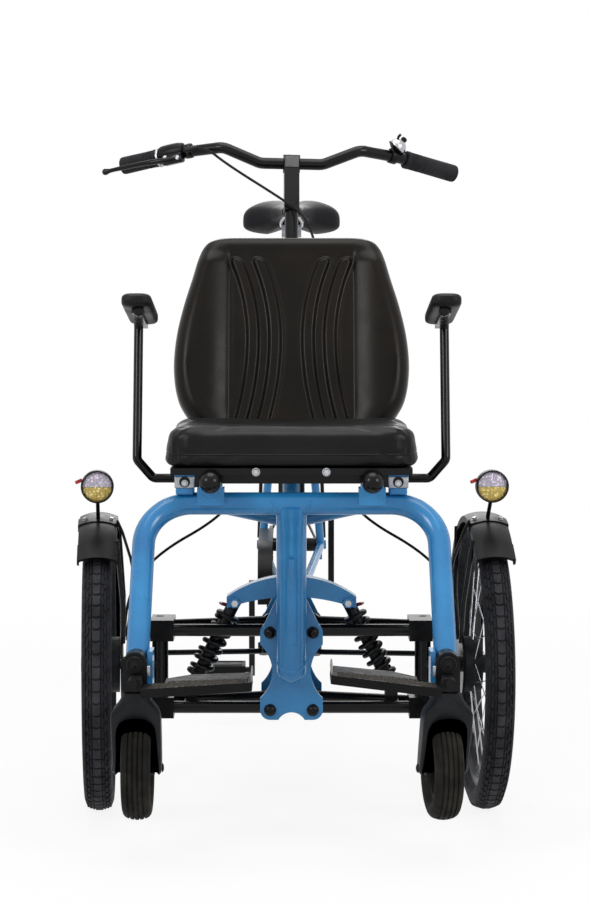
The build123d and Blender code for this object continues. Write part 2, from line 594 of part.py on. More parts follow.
# Rear triangle
stay_tube_r = 9.0
chain_stay_x = 26.0
seat_stay_share = 0.88
dropout_t, dropout_r = 6.0, 20.0
eyelet_r, eyelet_boss_r = 2.75, 7.0
eyelet_z = REAR_TYRE_R - dropout_r - eyelet_boss_r
seat_stay_head = Vector(*crank_centre) + (Vector(*seat_tube_top) - Vector(*crank_centre)) * seat_stay_share
triangle = None
for side in (LEFT, RIGHT):
    x = side * DROPOUT_X
    tip = (x, REAR_AXLE_Y - dropout_r / 2, REAR_TYRE_R)
    piece = rod((side * chain_stay_x, CRANK_Y + SHELL_R, CRANK_Z), tip, stay_tube_r)
    piece += rod((side * post_tube_r, seat_stay_head.Y, seat_stay_head.Z), tip, stay_tube_r)
    tab = Pos(REAR_AXLE_Y, REAR_TYRE_R) * Circle(dropout_r)
    tab += Pos(REAR_AXLE_Y, eyelet_z) * Circle(eyelet_boss_r)
    tab += Pos(REAR_AXLE_Y, (REAR_TYRE_R + eyelet_z) / 2) * Rectangle(eyelet_boss_r * 2, eyelet_z - REAR_TYRE_R)
    piece += lengthwise(tab, x - dropout_t / 2, x + dropout_t / 2)
    piece -= disc(x - dropout_t, x + dropout_t, REAR_AXLE_Y, eyelet_z, eyelet_r)
    triangle = piece if triangle is None else triangle + piece
triangle -= bike + rod(crank_centre, seat_tube_top, post_tube_r)
axle_nut_r, axle_nut_t = 10.0, 9.0
axle = rod((-DROPOUT_X - axle_nut_t, REAR_AXLE_Y, REAR_TYRE_R), (DROPOUT_X + axle_nut_t, REAR_AXLE_Y, REAR_TYRE_R),
           rear_axle_r)
for side in (LEFT, RIGHT):
    inner = side * (DROPOUT_X + dropout_t / 2)
    outer = side * (DROPOUT_X + dropout_t / 2 + axle_nut_t)
    axle += disc(min(inner, outer), max(inner, outer), REAR_AXLE_Y, REAR_TYRE_R, axle_nut_r)
write("rear_triangle", triangle + axle)

# Rear mudguard with stays
rear_guard_w, rear_guard_t = 56.0, 2.5
rear_guard_first_angle, rear_guard_last_angle = -20.0, 158.0
rear_guard = Pos(0, REAR_AXLE_Y, REAR_TYRE_R) * mudguard(
    REAR_GUARD_R, rear_guard_w, rear_guard_t, rear_guard_first_angle, rear_guard_last_angle)
wire_r = 3.0
guard_shoulder = REAR_GUARD_R - rear_guard_w * 0.12 - wire_r * 2
stay_angle = 8.0
for side in (LEFT, RIGHT):
    tip = (side * (rear_guard_w / 2 - rear_guard_t / 2),
           REAR_AXLE_Y + guard_shoulder * math.cos(math.radians(stay_angle)),
           REAR_TYRE_R + guard_shoulder * math.sin(math.radians(stay_angle)))
    foot_x = side * (DROPOUT_X - dropout_t / 2 - wire_r - SEAT_GAP)
    rear_guard += rod((foot_x, REAR_AXLE_Y + dropout_r * 0.8, REAR_TYRE_R), tip, wire_r)
write("rear_mudguard", rear_guard)

# Luggage rack
DECK_UP, DECK_AHEAD, DECK_BEHIND, DECK_HALF = 37.0, 190.0, 160.0, 60.0
DECK_Z = REAR_TYRE_R + REAR_GUARD_R + DECK_UP
DECK_Y0, DECK_Y1 = REAR_AXLE_Y - DECK_AHEAD, REAR_AXLE_Y + DECK_BEHIND
rack_r, rail_r = 5.0, 4.0
RACK_FOOT_SHARE = 0.85
loop = [(DECK_HALF, DECK_Y0, DECK_Z), (DECK_HALF, DECK_Y1, DECK_Z), (-DECK_HALF, DECK_Y1, DECK_Z),
        (-DECK_HALF, DECK_Y0, DECK_Z)]
rack_bend = 24.0
rack = bent_rod(loop, rack_bend, rack_r)
rails, rail_inset = 4, 16.0
for i in range(rails):
    y = DECK_Y0 + rail_inset + (DECK_Y1 - DECK_Y0 - rail_inset) * i / rails
    rack += rod((DECK_HALF, y, DECK_Z), (-DECK_HALF, y, DECK_Z), rail_r)
# where each stay's head is along the deck, as a share of it, and how far behind the axle its foot is
RACK_STAYS = (("front", 0.3, -5.0), ("rear", 0.86, 5.0))
for side in (LEFT, RIGHT):
    for _, head_share, foot_back in RACK_STAYS:
        foot = (side * (DROPOUT_X + dropout_t / 2 + rail_r + SEAT_GAP), REAR_AXLE_Y + foot_back,
                REAR_TYRE_R + dropout_r * RACK_FOOT_SHARE)
        rack += rod(foot, (side * DECK_HALF, DECK_Y0 + (DECK_Y1 - DECK_Y0) * head_share, DECK_Z), rail_r)
plate_half, plate_inset, plate_thick, plate_proud = 32.0, 18.0, 4.0, 1.0
plate_top = DECK_Z + rack_r + plate_proud
rack += block(-plate_half, plate_half, DECK_Y0 + plate_inset, DECK_Y1 - plate_inset,
              plate_top - plate_thick, plate_top)
write("luggage_rack", rack)
tail_w, tail_h, tail_d = 80.0, 38.0, 26.0
tail_y = DECK_Y1 + rack_r + SEAT_GAP
write("tail_lamp", block(-tail_w / 2, tail_w / 2, tail_y, tail_y + tail_d, DECK_Z - tail_h / 2, DECK_Z + tail_h / 2))

# Seat post and saddle
saddle_t, post_out = 48.0, 92.0
clamp_w, clamp_d, clamp_h = 42.0, 56.0, 26.0
saddle_low = SADDLE_TOP_Z - saddle_t
post_top = Vector(*seat_tube_top) + seat_tube_dir * post_out
post = rod(dot(bore_foot), dot(post_top), seat_post_r)
post += block(-clamp_w / 2, clamp_w / 2, post_top.Y - clamp_d / 2, post_top.Y + clamp_d / 2,
              saddle_low - SEAT_GAP - clamp_h, saddle_low - SEAT_GAP)
collar_r, collar_h = 20.0, 18.0
post += pipe(seat_tube_top, dot(Vector(*seat_tube_top) + seat_tube_dir * collar_h), collar_r, seat_post_r)
write("seat_post", post)
saddle_half_w, saddle_nose, saddle_tail = 106.0, 170.0, 95.0
saddle_nose_half = 20.0
saddle_outline = make_face(
    Line((-saddle_nose_half, SADDLE_Y - saddle_nose), (saddle_nose_half, SADDLE_Y - saddle_nose)).edges()
    + ThreePointArc((saddle_nose_half, SADDLE_Y - saddle_nose), (saddle_half_w * 0.36, SADDLE_Y - saddle_nose * 0.1),
                    (saddle_half_w, SADDLE_Y + saddle_tail * 0.55)).edges()
    + ThreePointArc((saddle_half_w, SADDLE_Y + saddle_tail * 0.55), (0, SADDLE_Y + saddle_tail),
                    (-saddle_half_w, SADDLE_Y + saddle_tail * 0.55)).edges()
    + ThreePointArc((-saddle_half_w, SADDLE_Y + saddle_tail * 0.55),
                    (-saddle_half_w * 0.36, SADDLE_Y - saddle_nose * 0.1),
                    (-saddle_nose_half, SADDLE_Y - saddle_nose)).edges())
saddle = extrude(Pos(0, 0, saddle_low) * saddle_outline, saddle_t)
write("saddle", saddle)

# Chain and its guard
chain_r_front, chain_w, chain_h, chain_x = 82.0, 7.0, 9.0, -46.0


def chain_loop(grow):
    """The chain's outline round both sprockets, grown by a distance."""
    front = Pos(CRANK_Y, CRANK_Z) * Circle(chain_r_front + grow)
    back = Pos(REAR_AXLE_Y, REAR_TYRE_R) * Circle(sprocket_r + grow)
    reach = REAR_AXLE_Y - CRANK_Y
    rise = REAR_TYRE_R - CRANK_Z
    span = math.hypot(reach, rise)
    slope = math.atan2(rise, reach)
    corners = []
    for sign in (1, -1):
        angle = slope + sign * math.acos((chain_r_front - sprocket_r) / span)
        for y, z, radius in ((CRANK_Y, CRANK_Z, chain_r_front), (REAR_AXLE_Y, REAR_TYRE_R, sprocket_r)):
            corners.append((y + (radius + grow) * math.cos(angle), z + (radius + grow) * math.sin(angle)))
    belt = make_face(Polyline(corners[0], corners[1], corners[3], corners[2], close=True))
    return front + back + belt


chain = lengthwise(chain_loop(chain_h) - chain_loop(SEAT_GAP), chain_x - chain_w / 2, chain_x + chain_w / 2)
write("chain", chain)
guard_x0, guard_x1, guard_grow = -69.0, -66.0, 16.0
guard_drop, guard_end_in, guard_tall = 23.0, 160.0, 240.0
guard_low_z, guard_end_y = CRANK_Z - guard_drop, REAR_AXLE_Y - guard_end_in
guard_start_y = CRANK_Y - chain_r_front * 2
guard_window = Pos((guard_start_y + guard_end_y) / 2, guard_low_z + guard_tall / 2) * Rectangle(
    guard_end_y - guard_start_y, guard_tall)
guard = lengthwise(chain_loop(guard_grow) & guard_window, guard_x0, guard_x1)
roof = (chain_loop(guard_grow) - chain_loop(guard_grow - (guard_x1 - guard_x0))) & guard_window
guard += lengthwise(roof, guard_x1, chain_x + chain_w)
guard_tab_back, guard_tab_half, guard_tab_t = 30.0, 8.0, 4.0
guard_tab_y = CRANK_Y + guard_tab_back
guard_tab_z = CRANK_Z + chain_r_front + chain_h
guard += block(guard_x1, 0, guard_tab_y - guard_tab_half, guard_tab_y + guard_tab_half,
               guard_tab_z, guard_tab_z + guard_tab_t)
axle_space = 7.0
guard -= disc(guard_x0 - OVERRUN, guard_x1 + OVERRUN, CRANK_Y, CRANK_Z, crank_axle_r + axle_space)
write("chain_guard", guard - bike - rod(crank_centre, seat_tube_top, post_tube_r))

# Cranks, chainring and pedals
ring_r, ring_t = 80.0, 3.0
crank_boss_r, crank_tip_r = 17.0, 13.0
pedal_axle_r, pedal_half, pedal_long, pedal_t = 6.0, 46.0, 78.0, 26.0
pedal_gap = 8.0
cranks = disc(-CRANK_FACE_X, CRANK_FACE_X, CRANK_Y, CRANK_Z, crank_axle_r)
cranks += disc(chain_x - ring_t / 2, chain_x + ring_t / 2, CRANK_Y, CRANK_Z, ring_r)
pedal_z = {LEFT: CRANK_Z + CRANK_LENGTH, RIGHT: CRANK_Z - CRANK_LENGTH}
for side in (LEFT, RIGHT):
    x0, x1 = sorted((side * CRANK_FACE_X, side * (CRANK_FACE_X + CRANK_ARM_T)))
    outline = Pos(CRANK_Y, CRANK_Z) * Circle(crank_boss_r) + Pos(CRANK_Y, pedal_z[side]) * Circle(crank_tip_r)
    outline += Polygon((CRANK_Y - crank_boss_r, CRANK_Z), (CRANK_Y + crank_boss_r, CRANK_Z),
                       (CRANK_Y + crank_tip_r, pedal_z[side]), (CRANK_Y - crank_tip_r, pedal_z[side]), align=None)
    cranks += lengthwise(outline, x0, x1)
    outer = side * (CRANK_FACE_X + CRANK_ARM_T + pedal_gap + pedal_half * 2)
    cranks += rod((side * CRANK_FACE_X, CRANK_Y, pedal_z[side]), (outer, CRANK_Y, pedal_z[side]), pedal_axle_r)
write("cranks", cranks)
pedal_bar, pedal_core_r = 6.0, 12.0
for name, side in SIDES:
    z = pedal_z[side]
    x0 = CRANK_FACE_X + CRANK_ARM_T + pedal_gap
    x1 = x0 + pedal_half * 2
    pedal = disc(x0, x1, CRANK_Y, z, pedal_core_r)
    pedal += block(x0, x1, CRANK_Y - pedal_long / 2, CRANK_Y + pedal_long / 2, z - pedal_t / 2, z + pedal_t / 2)
    for edge in (-1, 1):
        middle = CRANK_Y + edge * (pedal_long / 2 + pedal_core_r) / 2
        reach = pedal_long / 2 - pedal_core_r - pedal_bar * 2
        pedal -= block(x0 + pedal_bar, x1 - pedal_bar, middle - reach / 2, middle + reach / 2,
                       z - pedal_t, z + pedal_t)
    pedal -= disc(x0 - OVERRUN, x1 + OVERRUN, CRANK_Y, z, pedal_axle_r + RUNNING_GAP)
    write(f"{name}_pedal", on_side(pedal, side))

# Steering column, handlebar, grips and controls
bar_r, grip_r, grip_long = 11.0, 17.0, 112.0
bar_half, bar_sweep, bar_rise = 322.0, 96.0, 29.0
# how far out, back and up each bend is, as shares of the half width, the sweep and the rise
BAR_SHARES = (("clamp end", 0.1863, 0.0, 0.0), ("riser top", 0.41, 0.0417, 1.0), ("grip bend", 0.64, 0.4167, 0.69),
              ("bar end", 1.0, 1.0, -0.207))
bar_bends = 34.0
bar_side = [(bar_half * x, BAR_Y + bar_sweep * y, BAR_Z + bar_rise * z) for _, x, y, z in BAR_SHARES]
bar_path = [(-x, y, z) for x, y, z in reversed(bar_side)] + bar_side
stem_top, stem_low, stem_w, stem_d = 8.0, 104.0, 29.0, 30.0
clamp_r, clamp_half = 18.0, 16.0
arm_drop, pitman_t, pitman_boss_r = 16.0, 9.0, 15.0
STEER_FOOT = HEAD_LOW + arm_drop + pitman_t


def column_frame(distance):
    """A plane square to the steering axis, this far below the handlebar, with Y to the rear."""
    return Plane(origin=along_column(distance), x_dir=(1, 0, 0), z_dir=UP_COLUMN)


def stem():
    piece = rod(dot(along_column(stem_low - OVERRUN)), dot(along_column(STEER_FOOT)), STEERER_R)
    piece += column_frame(stem_low) * Box(stem_w, stem_d, stem_low - stem_top,
                                          align=(Align.CENTER, Align.CENTER, Align.MIN))
    collar = along_column(HEAD_TOP - SEAT_GAP)
    piece += rod(dot(along_column(HEAD_TOP - OVERRUN)), dot(collar), HEAD_R + SEAT_GAP * 6)
    piece += rod(dot(along_column(HEAD_LOW + SEAT_GAP)), dot(along_column(HEAD_LOW + OVERRUN)), HEAD_R + SEAT_GAP * 6)
    lever_plate = Circle(pitman_boss_r) + Polygon(
        (-pitman_boss_r, 0), (pitman_boss_r, 0), (STEER_ARM_OUT + arm_boss_r, STEER_ARM_BACK),
        (-STEER_ARM_OUT - arm_boss_r, STEER_ARM_BACK), align=None)
    for side in (LEFT, RIGHT):
        lever_plate += Pos(side * STEER_ARM_OUT, STEER_ARM_BACK) * Circle(arm_boss_r)
    piece += column_frame(STEER_FOOT) * extrude(lever_plate, pitman_t)
    piece += disc(-clamp_half, clamp_half, BAR_Y, BAR_Z, clamp_r)
    piece -= disc(-clamp_half - OVERRUN, clamp_half + OVERRUN, BAR_Y, BAR_Z, bar_r + RUNNING_GAP)
    for side in (LEFT, RIGHT):
        pin_top = column_frame(STEER_FOOT) * Pos(side * STEER_ARM_OUT, STEER_ARM_BACK, 0)
        piece += pin_top * Cylinder(ball_pin_r, ball_pin_h, align=(Align.CENTER, Align.CENTER, Align.MAX))
    return piece


bar = bent_rod(bar_path, bar_bends, bar_r)
write("stem", bar_steered(stem()))
write("handlebar", bar_steered(bar))
end, before = Vector(*bar_side[-1]), Vector(*bar_side[-2])
outward = (end - before).normalized()
grip_end, grip_start = end + outward * (bar_r / 2), end - outward * grip_long
grip = rod(dot(grip_start), dot(grip_end), grip_r) - rod(dot(grip_start), dot(end), bar_r)
write("grips", bar_steered(both(grip)))


def on_bar(distance_in):
    """A plane across the bar, this far in from the grip, with its z axis outwards."""
    return Plane(origin=grip_start - outward * distance_in, x_dir=(0, 0, 1), z_dir=outward)


lever_body_w, lever_body_d, lever_body_h = 34.0, 46.0, 30.0
lever_t, lever_long, lever_depth = 8.0, 118.0, 16.0
lever_set = 6.0
lever_plane = on_bar(lever_set + lever_body_w)
lever_body = lever_plane * Box(lever_body_h, lever_body_d, lever_body_w,
                               align=(Align.CENTER, Align.CENTER, Align.MIN))
blade = lever_plane * Pos(0, lever_body_d * 0.62, lever_body_w / 2) * Box(
    lever_t, lever_depth, lever_long, align=(Align.CENTER, Align.CENTER, Align.MIN))
lever = lever_body + blade - rod(dot(grip_start - outward * lever_long), dot(grip_end), bar_r + SEAT_GAP)
lever = lever - rod(dot(grip_start - outward * SEAT_GAP), dot(grip_end), grip_r + SEAT_GAP)
levers = both(lever)
bell_r, bell_h, bell_in, bell_strap = 19.0, 24.0, 62.0, 14.0
bell_plane = on_bar(bell_in + bell_strap)
bell = bell_plane * Cylinder(bar_r + lever_t, bell_strap, align=(Align.CENTER, Align.CENTER, Align.MIN))
bell += bell_plane * Pos(bar_r + lever_t - SEAT_GAP, 0, bell_strap / 2) * Rot(0, 90, 0) * Cone(
    bell_r, bell_r * 0.6, bell_h, align=(Align.CENTER, Align.CENTER, Align.MIN))
bell -= bell_plane * Cylinder(bar_r + RUNNING_GAP, lever_long, align=(Align.CENTER, Align.CENTER, Align.CENTER))
write("bar_controls", bar_steered(Compound(levers.solids() + bell.solids()) - bar))

# Tie rods from the column's arm to the knuckles. The column leans, so a rod that it carries falls and rises
# on the knuckle's pin as the wheels turn, and the eye there has room below it and round the pin.
tie_rod_r, tie_play, tie_fall, tie_eye_h = 5.0, 2.0, 5.8, 10.6


def tie_rod(side):
    """The rod of one side with the wheels straight ahead: it is carried along without turning."""
    lever_pin = along_column(STEER_FOOT) + COLUMN_BACK * STEER_ARM_BACK + Vector(side * STEER_ARM_OUT, 0, 0)
    far = Vector(side * (KINGPIN_X + STEER_ARM_OUT), STEER_ARM_BACK, TIE_Z)
    eye_low, eye_high = TIE_Z + tie_fall, TIE_Z + tie_fall + tie_eye_h
    near = lever_pin - UP_COLUMN * (ball_pin_h / 2)
    near_low = lever_pin - UP_COLUMN * (ball_pin_h - SEAT_GAP)
    piece = rod(dot(near), (far.X, far.Y, (eye_low + eye_high) / 2), tie_rod_r)
    piece += rod(dot(lever_pin - UP_COLUMN * SEAT_GAP), dot(near_low), TIE_BALL_R)
    piece += rod((far.X, far.Y, eye_low), (far.X, far.Y, eye_high), TIE_BALL_R)
    piece -= rod(dot(lever_pin + UP_COLUMN * OVERRUN), dot(lever_pin - UP_COLUMN * ball_pin_h * 2),
                 ball_pin_r + RUNNING_GAP)
    bore_top = eye_high + knuckle_pin_h
    return piece - rod((far.X, far.Y, TIE_Z - OVERRUN), (far.X, far.Y, bore_top), ball_pin_r + tie_play)


def lever_shift(side, angle=REST_STEER):
    """How far a lever pin moves when the column turns."""
    pin = along_column(STEER_FOOT) + COLUMN_BACK * STEER_ARM_BACK + Vector(side * STEER_ARM_OUT, 0, 0)
    return bar_steered(Vertex(*dot(pin)), angle).center() - pin


for name, side in SIDES:
    write(f"{name}_tie_rod", Pos(*dot(lever_shift(side))) * tie_rod(side))

# Chair: seat frame, brackets, knobs, seat and back
rail_x, rail_w, rail_h = 150.0, 20.0, 20.0
board_t = 11.0
seat_low = SEAT_Z - board_t
chair = block(-SEAT_W * 0.46, SEAT_W * 0.46, SEAT_FRONT_Y + OVERRUN, SEAT_REAR_Y - OVERRUN, seat_low, SEAT_Z)
for side in (LEFT, RIGHT):
    chair += block(side * rail_x - rail_w / 2, side * rail_x + rail_w / 2, SEAT_FRONT_Y + OVERRUN * 2,
                   SEAT_REAR_Y + rail_w, seat_low - rail_h, seat_low)
front_bar_set, bar_drop = 4.0, 8.0
front_bar_y = CROSS_Y - front_bar_set
chair += block(-rail_x, rail_x, front_bar_y, front_bar_y + rail_w, seat_low - rail_h + bar_drop / 2, seat_low)
bearing_half, bearing_d = 17.0, 15.0
bearing_x = 174.0
cross_bore_x = bearing_x - bearing_half
chair += block(-cross_bore_x, cross_bore_x, ARM_BAR_Y - rail_w / 2, ARM_BAR_Y + rail_w / 2, seat_low - rail_h, seat_low)
for side in (LEFT, RIGHT):
    x0, x1 = sorted((side * (bearing_x - bearing_half), side * (bearing_x + bearing_half)))
    chair += block(x0, x1, ARM_BAR_Y - bearing_d, ARM_BAR_Y + bearing_d, ARM_BAR_Z - bearing_d, seat_low)
    chair -= disc(x0 - OVERRUN, x1 + OVERRUN, ARM_BAR_Y, ARM_BAR_Z, ARM_BAR_R + RUNNING_GAP)
write("seat_frame", chair)

bracket_x0, bracket_x1, bracket_w = 158.0, 192.0, 6.0
bracket_hole_r = 9.0
bracket_low = CROSS_Z + TUBE_R * 0.9
seat_brackets = []
for side in (LEFT, RIGHT):
    x0, x1 = sorted((side * bracket_x0, side * bracket_x1))
    mid_x, mid_z = (x0 + x1) / 2, (bracket_low + seat_low - rail_h) / 2
    foot = block(x0, x1, CROSS_Y - lug_half_w, CROSS_Y + lug_half_w, CROSS_Z, bracket_low + bracket_w)
    face = block(x0, x1, CROSS_Y - lug_half_w, CROSS_Y - lug_half_w + bracket_w, bracket_low, seat_low - SEAT_GAP)
    face -= standing(Pos(mid_x, mid_z + bracket_w / 2) * Circle(bracket_hole_r), CROSS_Y - lug_d, CROSS_Y)
    back = block(x0, x1, CROSS_Y + lug_half_w - bracket_w, CROSS_Y + lug_half_w, bracket_low, seat_low - SEAT_GAP)
    piece = foot + face + back - u_tube - chair
    seat_brackets += piece.solids()
write("seat_brackets", Compound(seat_brackets))

cross_member_y, cross_member_r = 150.0, 13.0
spine_z = 486.0
member_half, member_rise = 150.0, 32.0
member_bend_r, spine_bend_r = 24.0, 60.0
under = bent_rod([(-member_half, cross_member_y, seat_low - SEAT_GAP),
                  (-member_half, cross_member_y, spine_z + member_rise),
                  (0, cross_member_y, spine_z),
                  (member_half, cross_member_y, spine_z + member_rise),
                  (member_half, cross_member_y, seat_low - SEAT_GAP)], [member_bend_r, spine_bend_r, member_bend_r], cross_member_r)
under += rod((0, cross_member_y, spine_z), (0, PLATE_REAR_Y - cross_member_r, plate_top_z - wing_t), cross_member_r)
head_link = head_top + (head_low - head_top) * 0.3
under += rod((0, cross_member_y, spine_z), dot(head_link), cross_member_r)
write("seat_cross_member", under - bike - plates - rod(dot(head_top), dot(head_low), HEAD_R))

knob_r, knob_stem_r, knob_out, knob_up = 18.0, 5.0, 16.0, 39.0
knob_y, knob_z = CROSS_Y - lug_d - knob_out, CROSS_Z + knob_up
knob = Pos(lug_x, knob_y, knob_z) * Sphere(knob_r)
knob += rod((lug_x, knob_y, knob_z), (lug_x, CROSS_Y, CROSS_Z + lug_h * 0.7), knob_stem_r)
write("seat_knobs", both(largest(knob - u_tube)))

cushion_round, cushion_edge = 60.0, 24.0
cushion_plan = RectangleRounded(SEAT_W, SEAT_REAR_Y - SEAT_FRONT_Y, cushion_round)
cushion = Pos(0, (SEAT_REAR_Y + SEAT_FRONT_Y) / 2, SEAT_Z + SEAT_GAP) * extrude(cushion_plan, SEAT_H)
cushion = fillet(cushion.edges().group_by(Axis.Z)[-1], cushion_edge)
write("seat_cushion", cushion)

tilt = math.radians(BACK_TILT)
back_plane = Plane(origin=(0, BACK_Y, BACK_Z), x_dir=(1, 0, 0), z_dir=(0, -math.cos(tilt), math.sin(tilt)))
# half width and height, as shares of the widest half width and of the length
BACK_SHARES = (("foot", 0.66, 0.0), ("foot side", 0.85, 0.1), ("widest", 1.0, 0.345), ("upper side", 0.93, 0.65),
               ("shoulder", 0.75, 0.93), ("crown corner", 0.71, 0.975), ("crown", 0.6, 1.0))


def back_outline(share):
    """The back's outline, as a share of its full size."""
    right = [(BACK_HALF_W * w * share, BACK_LENGTH * (0.5 + (h - 0.5) * share)) for _, w, h in BACK_SHARES]
    left = [(-x, y) for x, y in right]
    edges = Line(left[0], right[0]).edges()
    for points in (right, left):
        edges += ThreePointArc(points[0], points[1], points[2]).edges()
        edges += ThreePointArc(points[2], points[3], points[4]).edges()
        edges += ThreePointArc(points[4], points[5], points[6]).edges()
    return make_face(edges + Line(left[6], right[6]).edges())


write("backrest_cushion", back_plane * extrude(back_outline(1.0), -BACK_T))
shell_share, shell_t = 0.86, 8.0
back_shell = back_plane * Pos(0, 0, -BACK_T - SEAT_GAP) * extrude(back_outline(shell_share), -shell_t)
back_post_r, back_post_x = 11.0, 120.0
post_depth = BACK_T + SEAT_GAP + shell_t + back_post_r
for side in (LEFT, RIGHT):
    high = back_plane.from_local_coords((side * back_post_x, BACK_LENGTH * 0.7, -post_depth))
    low = back_plane.from_local_coords((side * back_post_x, -OVERRUN, -post_depth))
    foot = (side * back_post_x, low.Y, seat_low - rail_h / 2)
    back_shell += rod(dot(high), dot(low), back_post_r)
    back_shell += Pos(*dot(low)) * Sphere(back_post_r)
    back_shell += rod(dot(low), foot, back_post_r)
    back_shell += block(side * back_post_x - back_post_r, side * back_post_x + back_post_r,
                        SEAT_REAR_Y - rail_w, low.Y + back_post_r, seat_low - rail_h, seat_low)
write("backrest_shell", back_shell - chair - under)

# Armrests, hinged on the bar under the seat
arm_slant_in, arm_slant_up, arm_bend_r = 28.0, 32.0, 13.0
arm_path = [(cross_bore_x, ARM_BAR_Y, ARM_BAR_Z), (ARM_POST_X - arm_slant_in, ARM_BAR_Y, ARM_BAR_Z),
            (ARM_POST_X, ARM_BAR_Y, ARM_BAR_Z + arm_slant_up), (ARM_POST_X, ARM_TOP_Y, ARM_TOP_Z)]
arm_tube = bent_rod(arm_path, arm_bend_r, ARM_BAR_R)
pad_w, pad_t, pad_long, pad_pitch = 50.0, 24.0, 250.0, 8.0
pad_in = 10.0
pad_front_y = -190.0
pad_drop = 22.0
pad_mid_y = pad_front_y + pad_long / 2
pad_seat_z = ARM_TOP_Z + pad_drop
arm_head = rod((ARM_POST_X, ARM_TOP_Y, ARM_TOP_Z), (ARM_POST_X, ARM_TOP_Y - pad_drop / 2, pad_seat_z), ARM_BAR_R)
pad_shape = Pos(ARM_POST_X - pad_in, pad_mid_y, pad_seat_z) * Rot(-pad_pitch, 0, 0) * fillet(
    Box(pad_w, pad_long, pad_t, align=(Align.CENTER, Align.CENTER, Align.MIN)).edges(), pad_t * 0.4)
carrier = Pos(ARM_POST_X - pad_in, pad_mid_y, pad_seat_z) * Rot(-pad_pitch, 0, 0) * Box(
    ARM_BAR_R * 2, pad_long * 0.8, ARM_BAR_R, align=(Align.CENTER, Align.CENTER, Align.MAX))
arm_piece = arm_tube + arm_head + carrier - pad_shape
for name, side in SIDES:
    write(f"{name}_armrest", on_side(arm_piece, side))
    write(f"{name}_arm_pad", on_side(pad_shape, side))

# Castors: housing on the leg, fork on its stem, wheel that hangs clear of the ground
house_w, house_d, house_h = 38.0, 44.0, 62.0
house_z0 = 270.0
cap_r, cap_t, cap_z = 14.0, 6.0, 313.0
crown_z, crown_t, fork_w, fork_t = 268.0, 26.0, 79.0, 11.0
fork_room, hub_play = 6.0, 1.0
castor_axle_r = 5.0
housing_front = CASTOR_Y - house_d / 2
house_face = Pos(CASTOR_X, cap_z) * Circle(house_w / 2)
house_face += Pos(CASTOR_X, (cap_z + house_z0) / 2) * Rectangle(house_w, cap_z - house_z0)
housing = standing(house_face, housing_front, CASTOR_Y + house_d / 2)
lug_t, foot_barrel_r, foot_pin_r, foot_barrel_long = 9.0, 8.0, 4.5, 42.0
barrel_y1 = housing_front - lug_t - SEAT_GAP
barrel_y0 = barrel_y1 - foot_barrel_long
housing += standing(Pos(FOOT_HINGE_X, FOOT_HINGE_Z) * Circle(foot_barrel_r), housing_front - lug_t, housing_front)
housing += standing(Pos(FOOT_HINGE_X, FOOT_HINGE_Z) * Circle(foot_pin_r), barrel_y0 - SEAT_GAP, housing_front)
housing += standing(Pos(FOOT_HINGE_X, FOOT_HINGE_Z) * Circle(foot_barrel_r),
                    barrel_y0 - SEAT_GAP - lug_t / 2, barrel_y0 - SEAT_GAP)
housing += standing(Pos(CASTOR_X, cap_z) * Circle(cap_r), housing_front - cap_t, housing_front)
housing -= rod((CASTOR_X, CASTOR_Y, house_z0 - OVERRUN), (CASTOR_X, CASTOR_Y, house_z0 + house_h - OVERRUN),
               CASTOR_STEM_R + RUNNING_GAP)
housings = both(housing)
write("castor_housings", housings - u_tube)


def castor_fork():
    """The left fork, trailing straight back, on its upright stem."""
    top = crown_z
    axle_y = CASTOR_Y + CASTOR_TRAIL
    stem_end = house_z0 + house_h - OVERRUN * 2
    fork = rod((CASTOR_X, CASTOR_Y, top - crown_t), (CASTOR_X, CASTOR_Y, stem_end), CASTOR_STEM_R)
    fork += rod((CASTOR_X, CASTOR_Y, top - crown_t), (CASTOR_X, CASTOR_Y, top - SEAT_GAP), fork_w * 0.36)
    side_face = make_face(Polyline(
        (CASTOR_Y - fork_w * 0.3, top), (CASTOR_Y + fork_w * 0.3, top),
        (axle_y + CASTOR_STEM_R * 1.6, CASTOR_Z), (axle_y + CASTOR_STEM_R, CASTOR_Z - CASTOR_STEM_R),
        (axle_y - CASTOR_STEM_R, CASTOR_Z - CASTOR_STEM_R),
        (axle_y - CASTOR_STEM_R * 2, CASTOR_Z + CASTOR_STEM_R * 2), close=True))
    body = lengthwise(side_face, CASTOR_X - fork_w / 2, CASTOR_X + fork_w / 2)
    mouth = lengthwise(Pos(axle_y, CASTOR_Z) * Rectangle(CASTOR_R * 4, (CASTOR_R + fork_room) * 2),
                       CASTOR_X - fork_w / 2 + fork_t, CASTOR_X + fork_w / 2 - fork_t)
    for edge in (LEFT, RIGHT):
        corner = Pos(CASTOR_X + edge * fork_w / 2, 0, top) * Rot(0, 45, 0) * Box(crown_t, house_d * 3, crown_t)
        body -= Pos(0, CASTOR_Y, 0) * corner
    body -= mouth
    fork += body
    fork += disc(CASTOR_X - fork_w / 2 - bracket_t, CASTOR_X + fork_w / 2 + bracket_t, axle_y, CASTOR_Z, castor_axle_r)
    return fork


